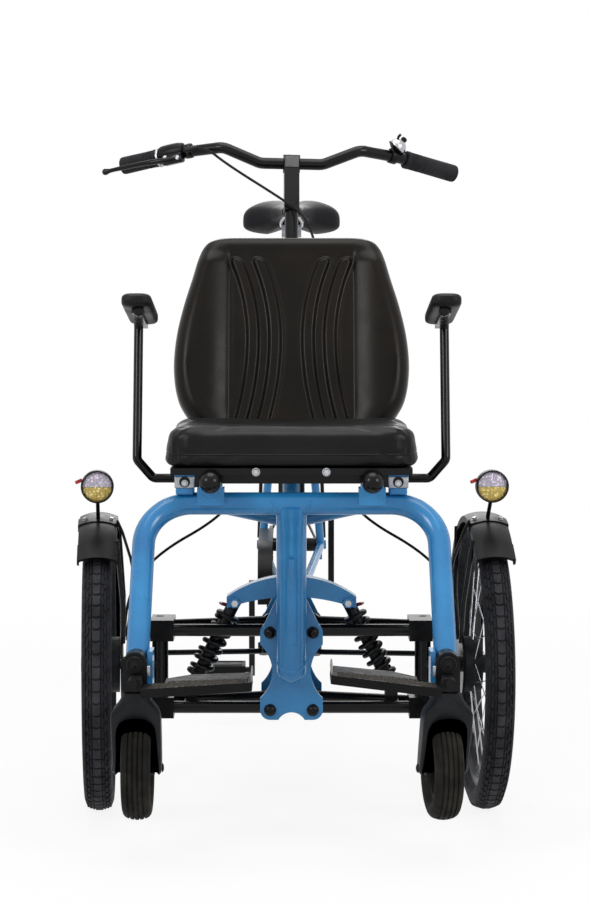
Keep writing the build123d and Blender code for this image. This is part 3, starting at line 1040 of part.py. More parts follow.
castor_groove, castor_rib = 3.0, 5.0
half_w = CASTOR_W / 2
castor_edge = [(-half_w * 0.55, CASTOR_R * 0.62), (-half_w, CASTOR_R * 0.72), (-half_w, CASTOR_R * 0.9),
               (-half_w * 0.72, CASTOR_R)]
for i in range(3):
    x = (i - 1) * half_w * 0.45
    castor_edge += [(x - castor_groove / 2, CASTOR_R), (x - castor_groove / 2, CASTOR_R - castor_rib),
                    (x + castor_groove / 2, CASTOR_R - castor_rib), (x + castor_groove / 2, CASTOR_R)]
castor_edge += [(half_w * 0.72, CASTOR_R), (half_w, CASTOR_R * 0.9), (half_w, CASTOR_R * 0.72),
                (half_w * 0.55, CASTOR_R * 0.62)]
castor_wheel = revolve(make_face(Polyline(*castor_edge, close=True)), Axis.X)
castor_wheel += disc(-half_w * 0.3, half_w * 0.3, 0, 0, CASTOR_R * 0.64)
castor_hub_half = fork_w / 2 - fork_t - hub_play
castor_wheel += disc(-castor_hub_half, castor_hub_half, 0, 0, castor_axle_r * 2.4)
castor_wheel -= disc(-fork_w, fork_w, 0, 0, castor_axle_r + RUNNING_GAP)
for name, side in SIDES:
    swivel = LEFT_CASTOR_ANGLE if side == LEFT else 0
    turn = Pos(side * CASTOR_X, CASTOR_Y, 0) * Rot(0, 0, swivel) * Pos(-side * CASTOR_X, -CASTOR_Y, 0)
    write(f"{name}_castor_fork", turn * on_side(castor_fork(), side))
    write(f"{name}_castor_wheel", turn * Pos(side * CASTOR_X, CASTOR_Y + CASTOR_TRAIL, CASTOR_Z) * castor_wheel)

# Footplates: each folds up about a pin that points forward from its castor's housing
foot_t, foot_outer_x = 14.0, 233.0
foot_deep, foot_taper = 138.0, 30.0
foot_front_y = OVERALL_FRONT_Y
foot_back_y, foot_inner_front_y = foot_front_y + foot_deep, foot_front_y + foot_taper
foot_corner_r = 7.0
foot_notch_x, foot_notch_y = 198.0, barrel_y1
foot_slant_x, foot_slant_y = 160.0, -396.0
foot_low_z = FOOT_HINGE_Z - foot_t / 2
foot_outline = Polygon(
    (FOOT_INNER_X, foot_back_y), (foot_slant_x, foot_back_y), (foot_notch_x, foot_slant_y),
    (foot_notch_x, foot_notch_y), (foot_outer_x, foot_notch_y), (foot_outer_x, foot_front_y),
    (FOOT_INNER_X, foot_inner_front_y), align=None)
footplate = extrude(Pos(0, 0, foot_low_z) * foot_outline, foot_t)
inner_corners = footplate.edges().filter_by(Axis.Z).group_by(Axis.X)[0]
footplate = fillet(inner_corners, foot_corner_r)
footplate += block(foot_outer_x, FOOT_HINGE_X, barrel_y0, barrel_y1, foot_low_z, foot_low_z + foot_t)
footplate += standing(Pos(FOOT_HINGE_X, FOOT_HINGE_Z) * Circle(foot_barrel_r), barrel_y0, barrel_y1)
footplate -= standing(Pos(FOOT_HINGE_X, FOOT_HINGE_Z) * Circle(foot_pin_r + RUNNING_GAP),
                      barrel_y0 - OVERRUN, barrel_y1 + OVERRUN)
FOOT_TILT = {LEFT: 5.5, RIGHT: 2.0}
for name, side in SIDES:
    tilted = Pos(FOOT_HINGE_X, 0, FOOT_HINGE_Z) * Rot(0, FOOT_TILT[side], 0) * Pos(
        -FOOT_HINGE_X, 0, -FOOT_HINGE_Z) * footplate
    write(f"{name}_footplate", on_side(tilted, side))

# Brake cables: from the seat's cross member to each brake plate, and from the right lever to the head tube
cable_r = 2.5
FRONT_CABLE = [(118.0, 136.0, 510.0), (136.0, 84.0, 492.0), (224.0, 30.0, 446.0), (268.0, 14.0, 400.0),
               (289.25, 0.0, 345.0), (289.25, 0.0, 298.0)]
FRONT_CABLE_BENDS = [30.0, 60.0, 30.0, 25.0]
front_cable = bent_rod(FRONT_CABLE, FRONT_CABLE_BENDS, cable_r)
write("front_brake_cables", both(front_cable))
BAR_CABLE = [(-194.9, 531.5, 1171.4), (-167.7, 520.0, 1176.7), (-124.0, 499.0, 1140.7), (-12.9, 469.4, 1070.3),
             (30.0, 452.0, 1038.0), (52.0, 420.0, 960.0), (24.0, 330.0, 690.0), (23.0, 300.0, 630.0),
             (18.8, 276.9, 585.8), (18.8, 244.4, 512.7)]
BAR_CABLE_BENDS = [20.0, 60.0, 60.0, 60.0, 90.0, 90.0, 60.0, 60.0]
bar_cable = bent_rod(BAR_CABLE, BAR_CABLE_BENDS, cable_r)
write("bar_cable", bar_cable)
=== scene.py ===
import math

import bmesh
import bpy
from mathutils import Matrix, Vector, noise
from mathutils.bvhtree import BVHTree


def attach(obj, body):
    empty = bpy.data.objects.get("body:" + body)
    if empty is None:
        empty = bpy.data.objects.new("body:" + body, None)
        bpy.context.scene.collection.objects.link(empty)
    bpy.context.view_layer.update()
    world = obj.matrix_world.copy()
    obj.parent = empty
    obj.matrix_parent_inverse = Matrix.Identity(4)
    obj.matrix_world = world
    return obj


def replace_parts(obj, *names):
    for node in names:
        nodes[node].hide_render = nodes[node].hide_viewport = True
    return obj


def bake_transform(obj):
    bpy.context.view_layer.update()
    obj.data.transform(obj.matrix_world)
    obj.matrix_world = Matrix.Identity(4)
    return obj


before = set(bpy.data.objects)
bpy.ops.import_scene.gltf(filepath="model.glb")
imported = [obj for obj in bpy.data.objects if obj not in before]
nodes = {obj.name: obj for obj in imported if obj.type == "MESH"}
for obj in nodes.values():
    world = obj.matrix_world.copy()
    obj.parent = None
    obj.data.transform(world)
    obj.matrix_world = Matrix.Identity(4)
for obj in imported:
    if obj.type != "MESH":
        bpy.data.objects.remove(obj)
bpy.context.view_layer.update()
scene = bpy.context.scene

# Places are millimetres, with the front axle at Y = 0, as in the CAD, and become metres at the end
AXLE_BACK = 582.5
TO_ROW = Matrix.Scale(0.001, 4) @ Matrix.Translation((0, -AXLE_BACK, 0))
LEFT, RIGHT = 1, -1
SIDES = (("left", LEFT), ("right", RIGHT))
# turns a round body, made along X, to stand on Z
UPRIGHT = Matrix.Rotation(math.radians(-90), 4, "Y")

KINGPIN_X, TRACK_HALF, FRONT_R = 228.0, 333.0, 250.0
REST_STEER = math.radians(3.0)
REAR_AXLE_Y, REAR_R = 1320.0, 330.0
CRANK_Y, CRANK_Z = 850.0, 285.0
BAR_CENTRE = Vector((0, 525.0, 1143.0))
STEER_TILT = math.radians(24.0)
UP_COLUMN = Vector((0, math.sin(STEER_TILT), math.cos(STEER_TILT)))
BACK_TILT = math.radians(17.2)
CASTOR_X, CASTOR_Y, CASTOR_TRAIL, CASTOR_Z = 245.0, -415.0, 42.0, 138.0


def turned_about(point, axis, angle):
    """A turn about an axis through a point."""
    point = Vector(point)
    return Matrix.Translation(point) @ Matrix.Rotation(angle, 4, axis) @ Matrix.Translation(-point)


KNUCKLE = {side: turned_about((side * KINGPIN_X, 0, 0), "Z", REST_STEER) for side in (LEFT, RIGHT)}
FRONT_WHEEL = {side: KNUCKLE[side] @ Matrix.Translation((side * TRACK_HALF, 0, FRONT_R)) for side in (LEFT, RIGHT)}
REAR_WHEEL = Matrix.Translation((0, REAR_AXLE_Y, REAR_R))
HANDLEBAR = turned_about(BAR_CENTRE, UP_COLUMN, REST_STEER)
CASTOR = {LEFT: turned_about((CASTOR_X, CASTOR_Y, 0), "Z", math.radians(7.0)), RIGHT: Matrix()}
BACK_PLANE = Matrix.Translation((0, 112.0, 634.0)) @ Matrix(
    ((1, 0, 0, 0), (0, math.sin(BACK_TILT), -math.cos(BACK_TILT), 0),
     (0, math.cos(BACK_TILT), math.sin(BACK_TILT), 0), (0, 0, 0, 1)))


# Camera: level with the seat, a little above, looking slightly down

camera = bpy.data.objects.new("Camera", bpy.data.cameras.new("Camera"))
scene.collection.objects.link(camera)
camera.data.sensor_width = 36.0
camera.data.lens = 100.32
camera.data.shift_x = 0.0039
camera.location = TO_ROW @ Vector((0, -4352.65, 882.85))
camera.rotation_euler = (math.radians(90 - 3.477), 0, 0)
scene.camera = camera
scene.view_settings.view_transform = "Standard"


# Materials

def colour(text):
    """A colour written as in a picture, made linear."""
    parts = [int(text[i:i + 2], 16) / 255 for i in (1, 3, 5)]
    return tuple(c / 12.92 if c <= 0.04045 else ((c + 0.055) / 1.055) ** 2.4 for c in parts) + (1.0,)


class Surface:
    """A material with its own node tree, built up by named steps."""

    def __init__(self, name, roughness, metallic=0.0, coat=0.0, coat_roughness=0.08, sheen=0.0, specular=0.5):
        self.material = bpy.data.materials.new(name)
        self.material.use_nodes = True
        self.tree = self.material.node_tree
        self.shader = self.tree.nodes["Principled BSDF"]
        self.shader.inputs["Roughness"].default_value = roughness
        self.shader.inputs["Metallic"].default_value = metallic
        self.shader.inputs["Coat Weight"].default_value = coat
        self.shader.inputs["Coat Roughness"].default_value = coat_roughness
        self.shader.inputs["Sheen Weight"].default_value = sheen
        self.shader.inputs["Specular IOR Level"].default_value = specular
        self.place = self.tree.nodes.new("ShaderNodeTexCoord").outputs["Object"]
        self.height = None

    def link(self, output, target):
        self.tree.links.new(output, target)

    def stretched(self, scale):
        """The place on the piece, stretched by a scale along each axis."""
        mapping = self.tree.nodes.new("ShaderNodeMapping")
        mapping.inputs["Scale"].default_value = scale
        self.link(self.place, mapping.inputs["Vector"])
        return mapping.outputs["Vector"]

    def cloud(self, scale, detail=4.0, roughness=0.55, stretch=None):
        """Soft noise, with a size in features per metre."""
        noise_node = self.tree.nodes.new("ShaderNodeTexNoise")
        noise_node.inputs["Scale"].default_value = scale
        noise_node.inputs["Detail"].default_value = detail
        noise_node.inputs["Roughness"].default_value = roughness
        self.link(self.stretched(stretch) if stretch else self.place, noise_node.inputs["Vector"])
        return noise_node.outputs["Fac"]

    def cells(self, scale, feature="DISTANCE_TO_EDGE"):
        """Small cells, as in grained leather."""
        cell = self.tree.nodes.new("ShaderNodeTexVoronoi")
        cell.feature = feature
        cell.inputs["Scale"].default_value = scale
        self.link(self.place, cell.inputs["Vector"])
        return cell.outputs["Distance"]

    def ramp(self, value, stops):
        """Colours along a value; each stop is a place and a colour."""
        ramp = self.tree.nodes.new("ShaderNodeValToRGB")
        elements = ramp.color_ramp.elements
        while len(elements) < len(stops):
            elements.new(0.5)
        for element, (at, tint) in zip(elements, stops):
            element.position, element.color = at, tint
        self.link(value, ramp.inputs["Fac"])
        return ramp.outputs["Color"]

    def spread(self, value, low, high, start=0.3, stop=0.7):
        """A value brought from one span to another."""
        span = self.tree.nodes.new("ShaderNodeMapRange")
        for socket, number in (("From Min", start), ("From Max", stop), ("To Min", low), ("To Max", high)):
            span.inputs[socket].default_value = number
        self.link(value, span.inputs["Value"])
        return span.outputs["Result"]

    def tint(self, stops, scale, detail=4.0, stretch=None):
        self.link(self.ramp(self.cloud(scale, detail, stretch=stretch), stops), self.shader.inputs["Base Color"])
        return self

    def gloss(self, low, high, scale, stretch=None):
        self.link(self.spread(self.cloud(scale, stretch=stretch), low, high), self.shader.inputs["Roughness"])
        return self

    def relief(self, value, depth_mm, strength=1.0):
        """A bump of a depth in millimetres, laid over the ones before."""
        bump = self.tree.nodes.new("ShaderNodeBump")
        bump.inputs["Distance"].default_value = depth_mm / 1000
        bump.inputs["Strength"].default_value = strength
        self.link(value, bump.inputs["Height"])
        if self.height is not None:
            self.link(self.height, bump.inputs["Normal"])
        self.height = bump.outputs["Normal"]
        self.link(self.height, self.shader.inputs["Normal"])
        return self


def blue_enamel():
    s = Surface("blue_enamel", 0.3, coat=0.4, coat_roughness=0.1, specular=0.3)
    s.tint([(0.3, colour("#1d6ba3")), (0.55, colour("#267bb3")), (0.75, colour("#3089c2"))], 9.0)
    s.gloss(0.24, 0.38, 30.0)
    return s.relief(s.cloud(260.0, 2.0), 0.05, 0.35).material


def black_enamel():
    s = Surface("black_enamel", 0.26, coat=0.18, coat_roughness=0.1, specular=0.12)
    s.tint([(0.3, colour("#040405")), (0.7, colour("#0b0b0c"))], 14.0)
    s.gloss(0.2, 0.36, 40.0)
    return s.relief(s.cloud(380.0, 2.0), 0.05, 0.4).material


def black_plastic(name="black_plastic", dark="#09090a", light="#131314", low=0.4, high=0.58, specular=0.12):
    s = Surface(name, 0.5, specular=specular)
    s.tint([(0.3, colour(dark)), (0.7, colour(light))], 22.0)
    s.gloss(low, high, 60.0)
    return s.relief(s.cloud(900.0, 3.0), 0.08, 0.5).material


def seat_vinyl(name, dark, light, low=0.3, high=0.46, specular=0.14):
    s = Surface(name, 0.36, specular=specular)
    s.tint([(0.28, colour(dark)), (0.72, colour(light))], 7.0)
    s.gloss(low, high, 16.0)
    s.relief(s.cells(430.0), 0.16, 0.4)
    return s.relief(s.cloud(14.0, 3.0), 1.2, 0.16).material


def tyre_rubber(name="tyre_rubber", dark="#17171a", light="#2d2d31"):
    s = Surface(name, 0.72, specular=0.14)
    s.tint([(0.3, colour(dark)), (0.72, colour(light))], 34.0)
    s.gloss(0.6, 0.85, 90.0)
    return s.relief(s.cloud(700.0, 3.0), 0.15, 0.5).material


def castor_tread():
    """Dusty black rubber, dull and a little uneven."""
    s = Surface("castor_rubber", 0.8, specular=0.12)
    s.tint([(0.32, colour("#121211")), (0.5, colour("#1d1c19")), (0.7, colour("#2e2c28"))], 26.0)
    s.gloss(0.68, 0.9, 70.0)
    return s.relief(s.cloud(600.0, 3.0), 0.25, 0.6).material


def soft_rubber():
    s = Surface("soft_rubber", 0.6, specular=0.14)
    s.tint([(0.3, colour("#0d0d0e")), (0.7, colour("#1a1a1b"))], 45.0)
    s.gloss(0.5, 0.7, 60.0)
    return s.relief(s.cloud(1100.0, 2.0), 0.1, 0.5).material


def bright_steel():
    s = Surface("bright_steel", 0.22, metallic=1.0)
    s.tint([(0.3, colour("#a2a4a8")), (0.7, colour("#c8cace"))], 60.0)
    return s.gloss(0.16, 0.32, 120.0).material


def brushed_aluminium():
    s = Surface("brushed_aluminium", 0.34, metallic=1.0)
    s.tint([(0.3, colour("#8e9196")), (0.7, colour("#b2b6bb"))], 30.0, stretch=(1.0, 1.0, 6.0))
    s.gloss(0.26, 0.44, 200.0, stretch=(1.0, 1.0, 8.0))
    return s.relief(s.cloud(600.0, 2.0, stretch=(1.0, 1.0, 12.0)), 0.04, 0.4).material


def dark_steel():
    s = Surface("dark_steel", 0.4, metallic=0.6, specular=0.2)
    s.tint([(0.3, colour("#121315")), (0.7, colour("#26282b"))], 60.0)
    return s.gloss(0.3, 0.5, 140.0).material


def black_rim():
    s = Surface("black_rim", 0.34, metallic=0.2, coat=0.1, specular=0.14)
    s.tint([(0.3, colour("#0c0d0e")), (0.7, colour("#18191b"))], 20.0)
    return s.gloss(0.28, 0.42, 70.0).material


def red_plastic(name="red_plastic", dark="#5c0b12", light="#8c1420"):
    s = Surface(name, 0.28, coat=0.3, specular=0.3)
    s.tint([(0.3, colour(dark)), (0.7, colour(light))], 60.0)
    return s.gloss(0.22, 0.36, 90.0).material


def facets(name, dark, light):
    """The reflector behind a lens, with small facets, each painted light at its middle as a painted glint."""
    s = Surface(name, 0.3, metallic=0.35, coat=0.5, coat_roughness=0.03)
    # painted glints: each facet is light at its middle and darker towards its edge
    glint_tints = s.ramp(s.cells(190.0, "F1"), [(0.08, colour(light)), (0.5, colour(dark))])
    s.link(glint_tints, s.shader.inputs["Base Color"])
    return s.relief(s.cells(190.0), 0.8, 0.8).material


def foot_grip():
    s = Surface("foot_grip", 0.6, specular=0.2)
    s.tint([(0.3, colour("#1f1c18")), (0.7, colour("#4a443a"))], 140.0)
    s.gloss(0.45, 0.7, 80.0)
    return s.relief(s.cloud(500.0, 3.0), 0.3, 0.6).material


BLUE = blue_enamel()
BLACK = black_enamel()
PLASTIC = black_plastic()
GUARD = black_plastic("guard_plastic", "#060607", "#0d0d0e", 0.3, 0.42, 0.14)
FORK = black_plastic("fork_plastic", "#17181b", "#222327", 0.4, 0.55, 0.16)
HOUSING = black_plastic("housing_plastic", "#09090a", "#111113", 0.28, 0.42, 0.16)
SEAT = seat_vinyl("seat_vinyl", "#0d0d0e", "#1a1a1a", 0.28, 0.44)
BACK = seat_vinyl("back_vinyl", "#0d0b09", "#19140f", 0.24, 0.36, 0.13)
SADDLE = seat_vinyl("saddle_vinyl", "#101013", "#19191d", 0.36, 0.5, 0.1)
PAD = seat_vinyl("pad_foam", "#101011", "#1d1d1e", 0.4, 0.56)
TYRE = tyre_rubber()
TREAD = tyre_rubber("tread_face", "#242427", "#3e3e42")
CASTOR_RUBBER = castor_tread()
RUBBER = soft_rubber()
PALE_EDGE = black_plastic("pale_edge", "#7d7b77", "#9b9994", 0.5, 0.65)
STEEL = bright_steel()
ALUMINIUM = brushed_aluminium()
DARK_STEEL = dark_steel()
RIM = black_rim()
RED = red_plastic()
RED_LENS = red_plastic("red_lens", "#8e0c12", "#c01a20")
LILAC_GLASS = facets("lilac_facets_painted_glints", "#a79eae", "#ece6ef")
YELLOW_GLASS = facets("yellow_facets_painted_glints", "#b59b48", "#fff0a2")
FOOT_GRIP = foot_grip()
GRIP = black_plastic("grip_rubber", "#1b1b1d", "#2a2a2d", 0.55, 0.72)
CLAMP_GREY = black_plastic("clamp_grey", "#5c5c5c", "#757574", 0.4, 0.55)


# Making pieces

def keep(name, mesh, finish, body, crease=35.0):
    """A mesh in metres becomes a finished piece that rides on a body."""
    mesh.name = name
    if finish is not None:
        mesh.materials.clear()
        mesh.materials.append(finish)
    mesh.polygons.foreach_set("use_smooth", [True] * len(mesh.polygons))
    mesh.set_sharp_from_angle(angle=math.radians(crease))
    made = bpy.data.objects.new(name, mesh)
    scene.collection.objects.link(made)
    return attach(made, body) if body else made


def meshed(name, shape, place=Matrix(), finish=None):
    """A bmesh in millimetres as a mesh in metres, in its place, closed and facing outwards."""
    bmesh.ops.remove_doubles(shape, verts=shape.verts, dist=0.01)
    shape.transform(TO_ROW @ place)
    bmesh.ops.recalc_face_normals(shape, faces=shape.faces)
    mesh = bpy.data.meshes.new(name)
    shape.to_mesh(mesh)
    shape.free()
    if finish is not None:
        mesh.materials.append(finish)
    return mesh


def finished(name, shape, finish, body, place=Matrix(), crease=35.0):
    """A bmesh in millimetres becomes a finished piece that rides on a body."""
    return keep(name, meshed(name, shape, place), finish, body, crease)


def round_body(profile, segments=32):
    """A shape turned about X; the profile's points are (distance along X, radius)."""
    shape = bmesh.new()
    rings = []
    for x, radius in profile:
        if radius <= 0:
            rings.append([shape.verts.new((x, 0, 0))])
        else:
            rings.append([shape.verts.new((x, radius * math.cos(2 * math.pi * i / segments),
                                           radius * math.sin(2 * math.pi * i / segments)))
                          for i in range(segments)])
    for near, far in zip(rings, rings[1:]):
        for i in range(segments):
            j = (i + 1) % segments
            corners = [near[i % len(near)], near[j % len(near)], far[j % len(far)], far[i % len(far)]]
            unique = list(dict.fromkeys(corners))
            if len(unique) > 2:
                shape.faces.new(unique)
    return shape


def skinned(shape, rings, closed=False):
    """Faces between rings of points, with flat ends unless the rings themselves run round."""
    for near, far in list(zip(rings, rings[1:])) + ([(rings[-1], rings[0])] if closed else []):
        for i in range(len(near)):
            j = (i + 1) % len(near)
            shape.faces.new((near[i], near[j], far[j], far[i]))
    if not closed:
        shape.faces.new(rings[0])
        shape.faces.new(rings[-1])
    return shape


def soft_box(size, edge, steps=3):
    """A box about its middle with rounded edges."""
    shape = bmesh.new()
    bmesh.ops.create_cube(shape, size=1.0)
    bmesh.ops.scale(shape, vec=Vector(size), verts=shape.verts)
    bmesh.ops.bevel(shape, geom=list(shape.edges), offset=edge, segments=steps, affect="EDGES", profile=0.5)
    return shape


def slab(outline, low, high, edge=0.0, steps=2):
    """A flat plate from an outline in X and Y, between two heights."""
    shape = bmesh.new()
    floor = shape.faces.new([shape.verts.new((x, y, low)) for x, y in outline])
    raised = bmesh.ops.extrude_face_region(shape, geom=[floor])
    top = [item for item in raised["geom"] if isinstance(item, bmesh.types.BMVert)]
    bmesh.ops.translate(shape, vec=(0, 0, high - low), verts=top)
    if edge:
        sharp = [e for e in shape.edges if len(e.link_faces) == 2 and e.calc_face_angle(0) > 0.6]
        bmesh.ops.bevel(shape, geom=sharp, offset=edge, segments=steps, affect="EDGES", profile=0.5)
    return shape


def tube(points, radius, sides=14, closed=False, radii=None):
    """A round tube that follows points, with its ends closed."""
    points = [Vector(p) for p in points]
    shape = bmesh.new()
    rings = []
    count = len(points)
    tangent_at = []
    for i in range(count):
        before = points[i - 1] if (i or closed) else points[i]
        after = points[(i + 1) % count] if (i < count - 1 or closed) else points[i]
        tangent_at.append((after - before).normalized())
    across = tangent_at[0].orthogonal().normalized()
    for i, tangent in enumerate(tangent_at):
        across = (across - tangent * across.dot(tangent)).normalized()
        up = tangent.cross(across)
        r = radii[i] if radii else radius
        rings.append([shape.verts.new(points[i] + (across * math.cos(2 * math.pi * k / sides)
                                                   + up * math.sin(2 * math.pi * k / sides)) * r)
                      for k in range(sides)])
    return skinned(shape, rings, closed)


def added(*shapes):
    """Several shapes in one."""
    whole = shapes[0]
    for shape in shapes[1:]:
        mesh = bpy.data.meshes.new("part")
        shape.to_mesh(mesh)
        whole.from_mesh(mesh)
        bpy.data.meshes.remove(mesh)
        shape.free()
    return whole


def moved(shape, place):
    shape.transform(place)
    return shape


def facing(point, direction, roll_to=(0, 0, 1)):
    """The place of a thing whose own Z looks along a direction."""
    z = Vector(direction).normalized()
    x = Vector(roll_to).cross(z)
    x = x.normalized() if x.length > 1e-6 else z.orthogonal().normalized()
    y = z.cross(x)
    return Matrix.Translation(point) @ Matrix((x, y, z)).transposed().to_4x4()


# Geometry Nodes for what repeats

def new_tree(name, sizes):
    """A tree that repeats a shape on points: its inputs, the repeating and its last two steps."""
    tree = bpy.data.node_groups.new(name, "GeometryNodeTree")
    socket = tree.interface.new_socket
    socket("Points", in_out="INPUT", socket_type="NodeSocketGeometry")
    socket("Shape", in_out="INPUT", socket_type="NodeSocketObject")
    for label, kind, value in sizes:
        socket(label, in_out="INPUT", socket_type=kind).default_value = value
    socket("Finish", in_out="INPUT", socket_type="NodeSocketMaterial")
    socket("Result", in_out="OUTPUT", socket_type="NodeSocketGeometry")
    make, link = tree.nodes.new, tree.links.new
    start, stop = make("NodeGroupInput"), make("NodeGroupOutput")
    info, place = make("GeometryNodeObjectInfo"), make("GeometryNodeInstanceOnPoints")
    real, cover = make("GeometryNodeRealizeInstances"), make("GeometryNodeSetMaterial")
    link(start.outputs["Shape"], info.inputs["Object"])
    link(info.outputs["Geometry"], place.inputs["Instance"])
    link(place.outputs["Instances"], real.inputs["Geometry"])
    link(real.outputs["Geometry"], cover.inputs["Geometry"])
    link(start.outputs["Finish"], cover.inputs["Material"])
    link(cover.outputs["Geometry"], stop.inputs["Result"])
    return tree, start, place


def spots_tree():
    """A shape on each point of a mesh, turned by the point's own directions."""
    tree, start, place = new_tree("spots", [("Size", "NodeSocketFloat", 1.0)])
    make, link = tree.nodes.new, tree.links.new
    turns = []
    for name, axis, pivot in (("facing", "Z", "AUTO"), ("along", "Y", "Z")):
        read = make("GeometryNodeInputNamedAttribute")
        read.data_type = "FLOAT_VECTOR"
        read.inputs["Name"].default_value = name
        align = make("FunctionNodeAlignRotationToVector")
        align.axis, align.pivot_axis = axis, pivot
        link(read.outputs["Attribute"], align.inputs["Vector"])
        if turns:
            link(turns[-1].outputs["Rotation"], align.inputs["Rotation"])
        turns.append(align)
    link(start.outputs["Points"], place.inputs["Points"])
    link(turns[-1].outputs["Rotation"], place.inputs["Rotation"])
    link(start.outputs["Size"], place.inputs["Scale"])
    return tree


def ring_tree():
    """A shape repeated round an axle along X, on a circle that the tree itself makes."""
    tree, start, place = new_tree("ring", [("Count", "NodeSocketInt", 12), ("Radius", "NodeSocketFloat", 0.1)])
    make, link = tree.nodes.new, tree.links.new
    circle, upright, where = (make("GeometryNodeMeshCircle"), make("GeometryNodeTransform"),
                              make("GeometryNodeInputPosition"))
    upright.inputs["Rotation"].default_value = (0, math.radians(90), 0)
    outward, across = make("FunctionNodeAlignRotationToVector"), make("FunctionNodeAlignRotationToVector")
    outward.axis = "Z"
    across.axis, across.pivot_axis = "X", "Z"
    across.inputs["Vector"].default_value = (1, 0, 0)
    link(start.outputs["Count"], circle.inputs["Vertices"])
    link(start.outputs["Radius"], circle.inputs["Radius"])
    link(circle.outputs["Mesh"], upright.inputs["Geometry"])
    link(upright.outputs["Geometry"], place.inputs["Points"])
    link(where.outputs["Position"], outward.inputs["Vector"])
    link(outward.outputs["Rotation"], across.inputs["Rotation"])
    link(across.outputs["Rotation"], place.inputs["Rotation"])
    return tree


SPOTS, RING = spots_tree(), ring_tree()


def grown(tree, base, settings):
    """Run a tree on a base mesh and give back the plain mesh that it makes."""
    holder = bpy.data.objects.new("holder", base)
    scene.collection.objects.link(holder)
    modifier = holder.modifiers.new("tree", "NODES")
    modifier.node_group = tree
    for item in tree.interface.items_tree:
        if item.in_out == "INPUT" and item.name in settings:
            modifier[item.identifier] = settings[item.name]
    bpy.context.view_layer.update()
    graph = bpy.context.evaluated_depsgraph_get()
    mesh = bpy.data.meshes.new_from_object(holder.evaluated_get(graph))
    bpy.data.objects.remove(holder)
    bpy.data.objects.remove(settings["Shape"])
    return mesh


def stamp(shape):
    """A bmesh in millimetres as an object for a tree to repeat."""
    shape.transform(Matrix.Scale(0.001, 4))
    bmesh.ops.recalc_face_normals(shape, faces=shape.faces)
    mesh = bpy.data.meshes.new("stamp")
    shape.to_mesh(mesh)
    shape.free()
    mesh.polygons.foreach_set("use_smooth", [True] * len(mesh.polygons))
    made = bpy.data.objects.new("stamp", mesh)
    scene.collection.objects.link(made)
    return made


def spotted(name, shape, places, finish, body, size=1.0, crease=35.0):
    """A shape at each place; a place is a point, the way it faces and what runs along it, in millimetres."""
    base = bpy.data.meshes.new("places")
    base.from_pydata([TO_ROW @ Vector(p) for p, _, _ in places], [], [])
    for label, column in (("facing", 1), ("along", 2)):
        attribute = base.attributes.new(label, "FLOAT_VECTOR", "POINT")
        attribute.data.foreach_set("vector", [c for row in places for c in row[column]])
    mesh = grown(SPOTS, base, {"Shape": stamp(shape), "Size": size, "Finish": finish})
    return keep(name, mesh, None, body, crease)


def ringed(shape, count, radius, finish, place):
    """A shape repeated round an axle, in place, as a plain mesh in metres."""
    mesh = grown(RING, bpy.data.meshes.new("none"), {"Shape": stamp(shape), "Count": count, "Radius": radius / 1000,
                                                     "Finish": finish})
    mesh.transform(TO_ROW @ place @ Matrix.Scale(1000, 4))
    return mesh


def joined(meshes):
    """Several meshes in metres as one."""
    whole = bmesh.new()
    finishes = []
    for mesh in meshes:
        slots = {}
        for i, finish in enumerate(mesh.materials):
            if finish not in finishes:
                finishes.append(finish)
            slots[i] = finishes.index(finish)
        first = len(whole.faces)
        whole.from_mesh(mesh)
        whole.faces.ensure_lookup_table()
        for face in whole.faces[first:]:
            face.material_index = slots.get(face.material_index, 0)
    mesh = bpy.data.meshes.new("joined")
    whole.to_mesh(mesh)
    whole.free()
    for finish in finishes:
        mesh.materials.append(finish)
    return mesh


def paint(node, finishes, choose=None):
    """Finish a CAD node; choose gives the finish's number from a face's middle in vehicle millimetres."""
    mesh = nodes[node].data
    mesh.materials.clear()
    for finish in finishes:
        mesh.materials.append(finish)
    if choose:
        back = TO_ROW.inverted()
        mesh.polygons.foreach_set("material_index", [choose(back @ face.center) for face in mesh.polygons])
    mesh.polygons.foreach_set("use_smooth", [True] * len(mesh.polygons))
    mesh.set_sharp_from_angle(angle=math.radians(32))


# Tyres

def tyre_profile(radius, width, rim_depth, crown_drop):
    """Points across a tyre from bead to bead, as (x, radius)."""
    half = width / 2
    bead, side = radius - rim_depth, radius - width * 0.45
    shoulder_x, shoulder = half * 0.6, radius - width * 0.06
    right = [(half * 0.55, bead), (half * 0.78, (bead + side) / 2 - 1.0), (half * 0.95, side - 6.0), (half, side),
             (half * 0.98, side + 6.0), (half * 0.88, (side + shoulder) / 2 + 3.0),
             (shoulder_x, shoulder - crown_drop), (half * 0.3, radius - crown_drop - 0.7)]
    left = [(-x, r) for x, r in right]
    return left + [(0, radius - crown_drop)] + right[::-1]


def on_tread(radius, width, x):
    """The tread's radius and slope at a place across it."""
    half = width / 2
    shoulder_x, drop = half * 0.6, width * 0.06
    inner = radius - drop * (x / shoulder_x) ** 2
    return inner, -2 * drop * x / shoulder_x ** 2


def block(size, edge, x, radius, width, rise, corner=0.0):
    """A tread block, leaned to sit on the tread's curve at a place across it."""
    shape = soft_box(size, edge, 1)
    if corner:
        bmesh.ops.bisect_plane(shape, geom=shape.verts[:] + shape.edges[:] + shape.faces[:], plane_co=(0, 0, 0),
                               plane_no=(1, 0, 0))
        for at in (-0.27, 0.27):
            bmesh.ops.bisect_plane(shape, geom=shape.verts[:] + shape.edges[:] + shape.faces[:],
                                   plane_co=(at * size[0], 0, 0), plane_no=(1, 0, 0))
        for v in shape.verts:
            v.co.y += corner * (v.co.x / size[0] * 2) ** 2
    reach, slope = on_tread(radius, width, x)
    return moved(shape, Matrix.Translation((x, 0, reach - radius + rise)) @ Matrix.Rotation(-math.atan(slope), 4, "Y"))


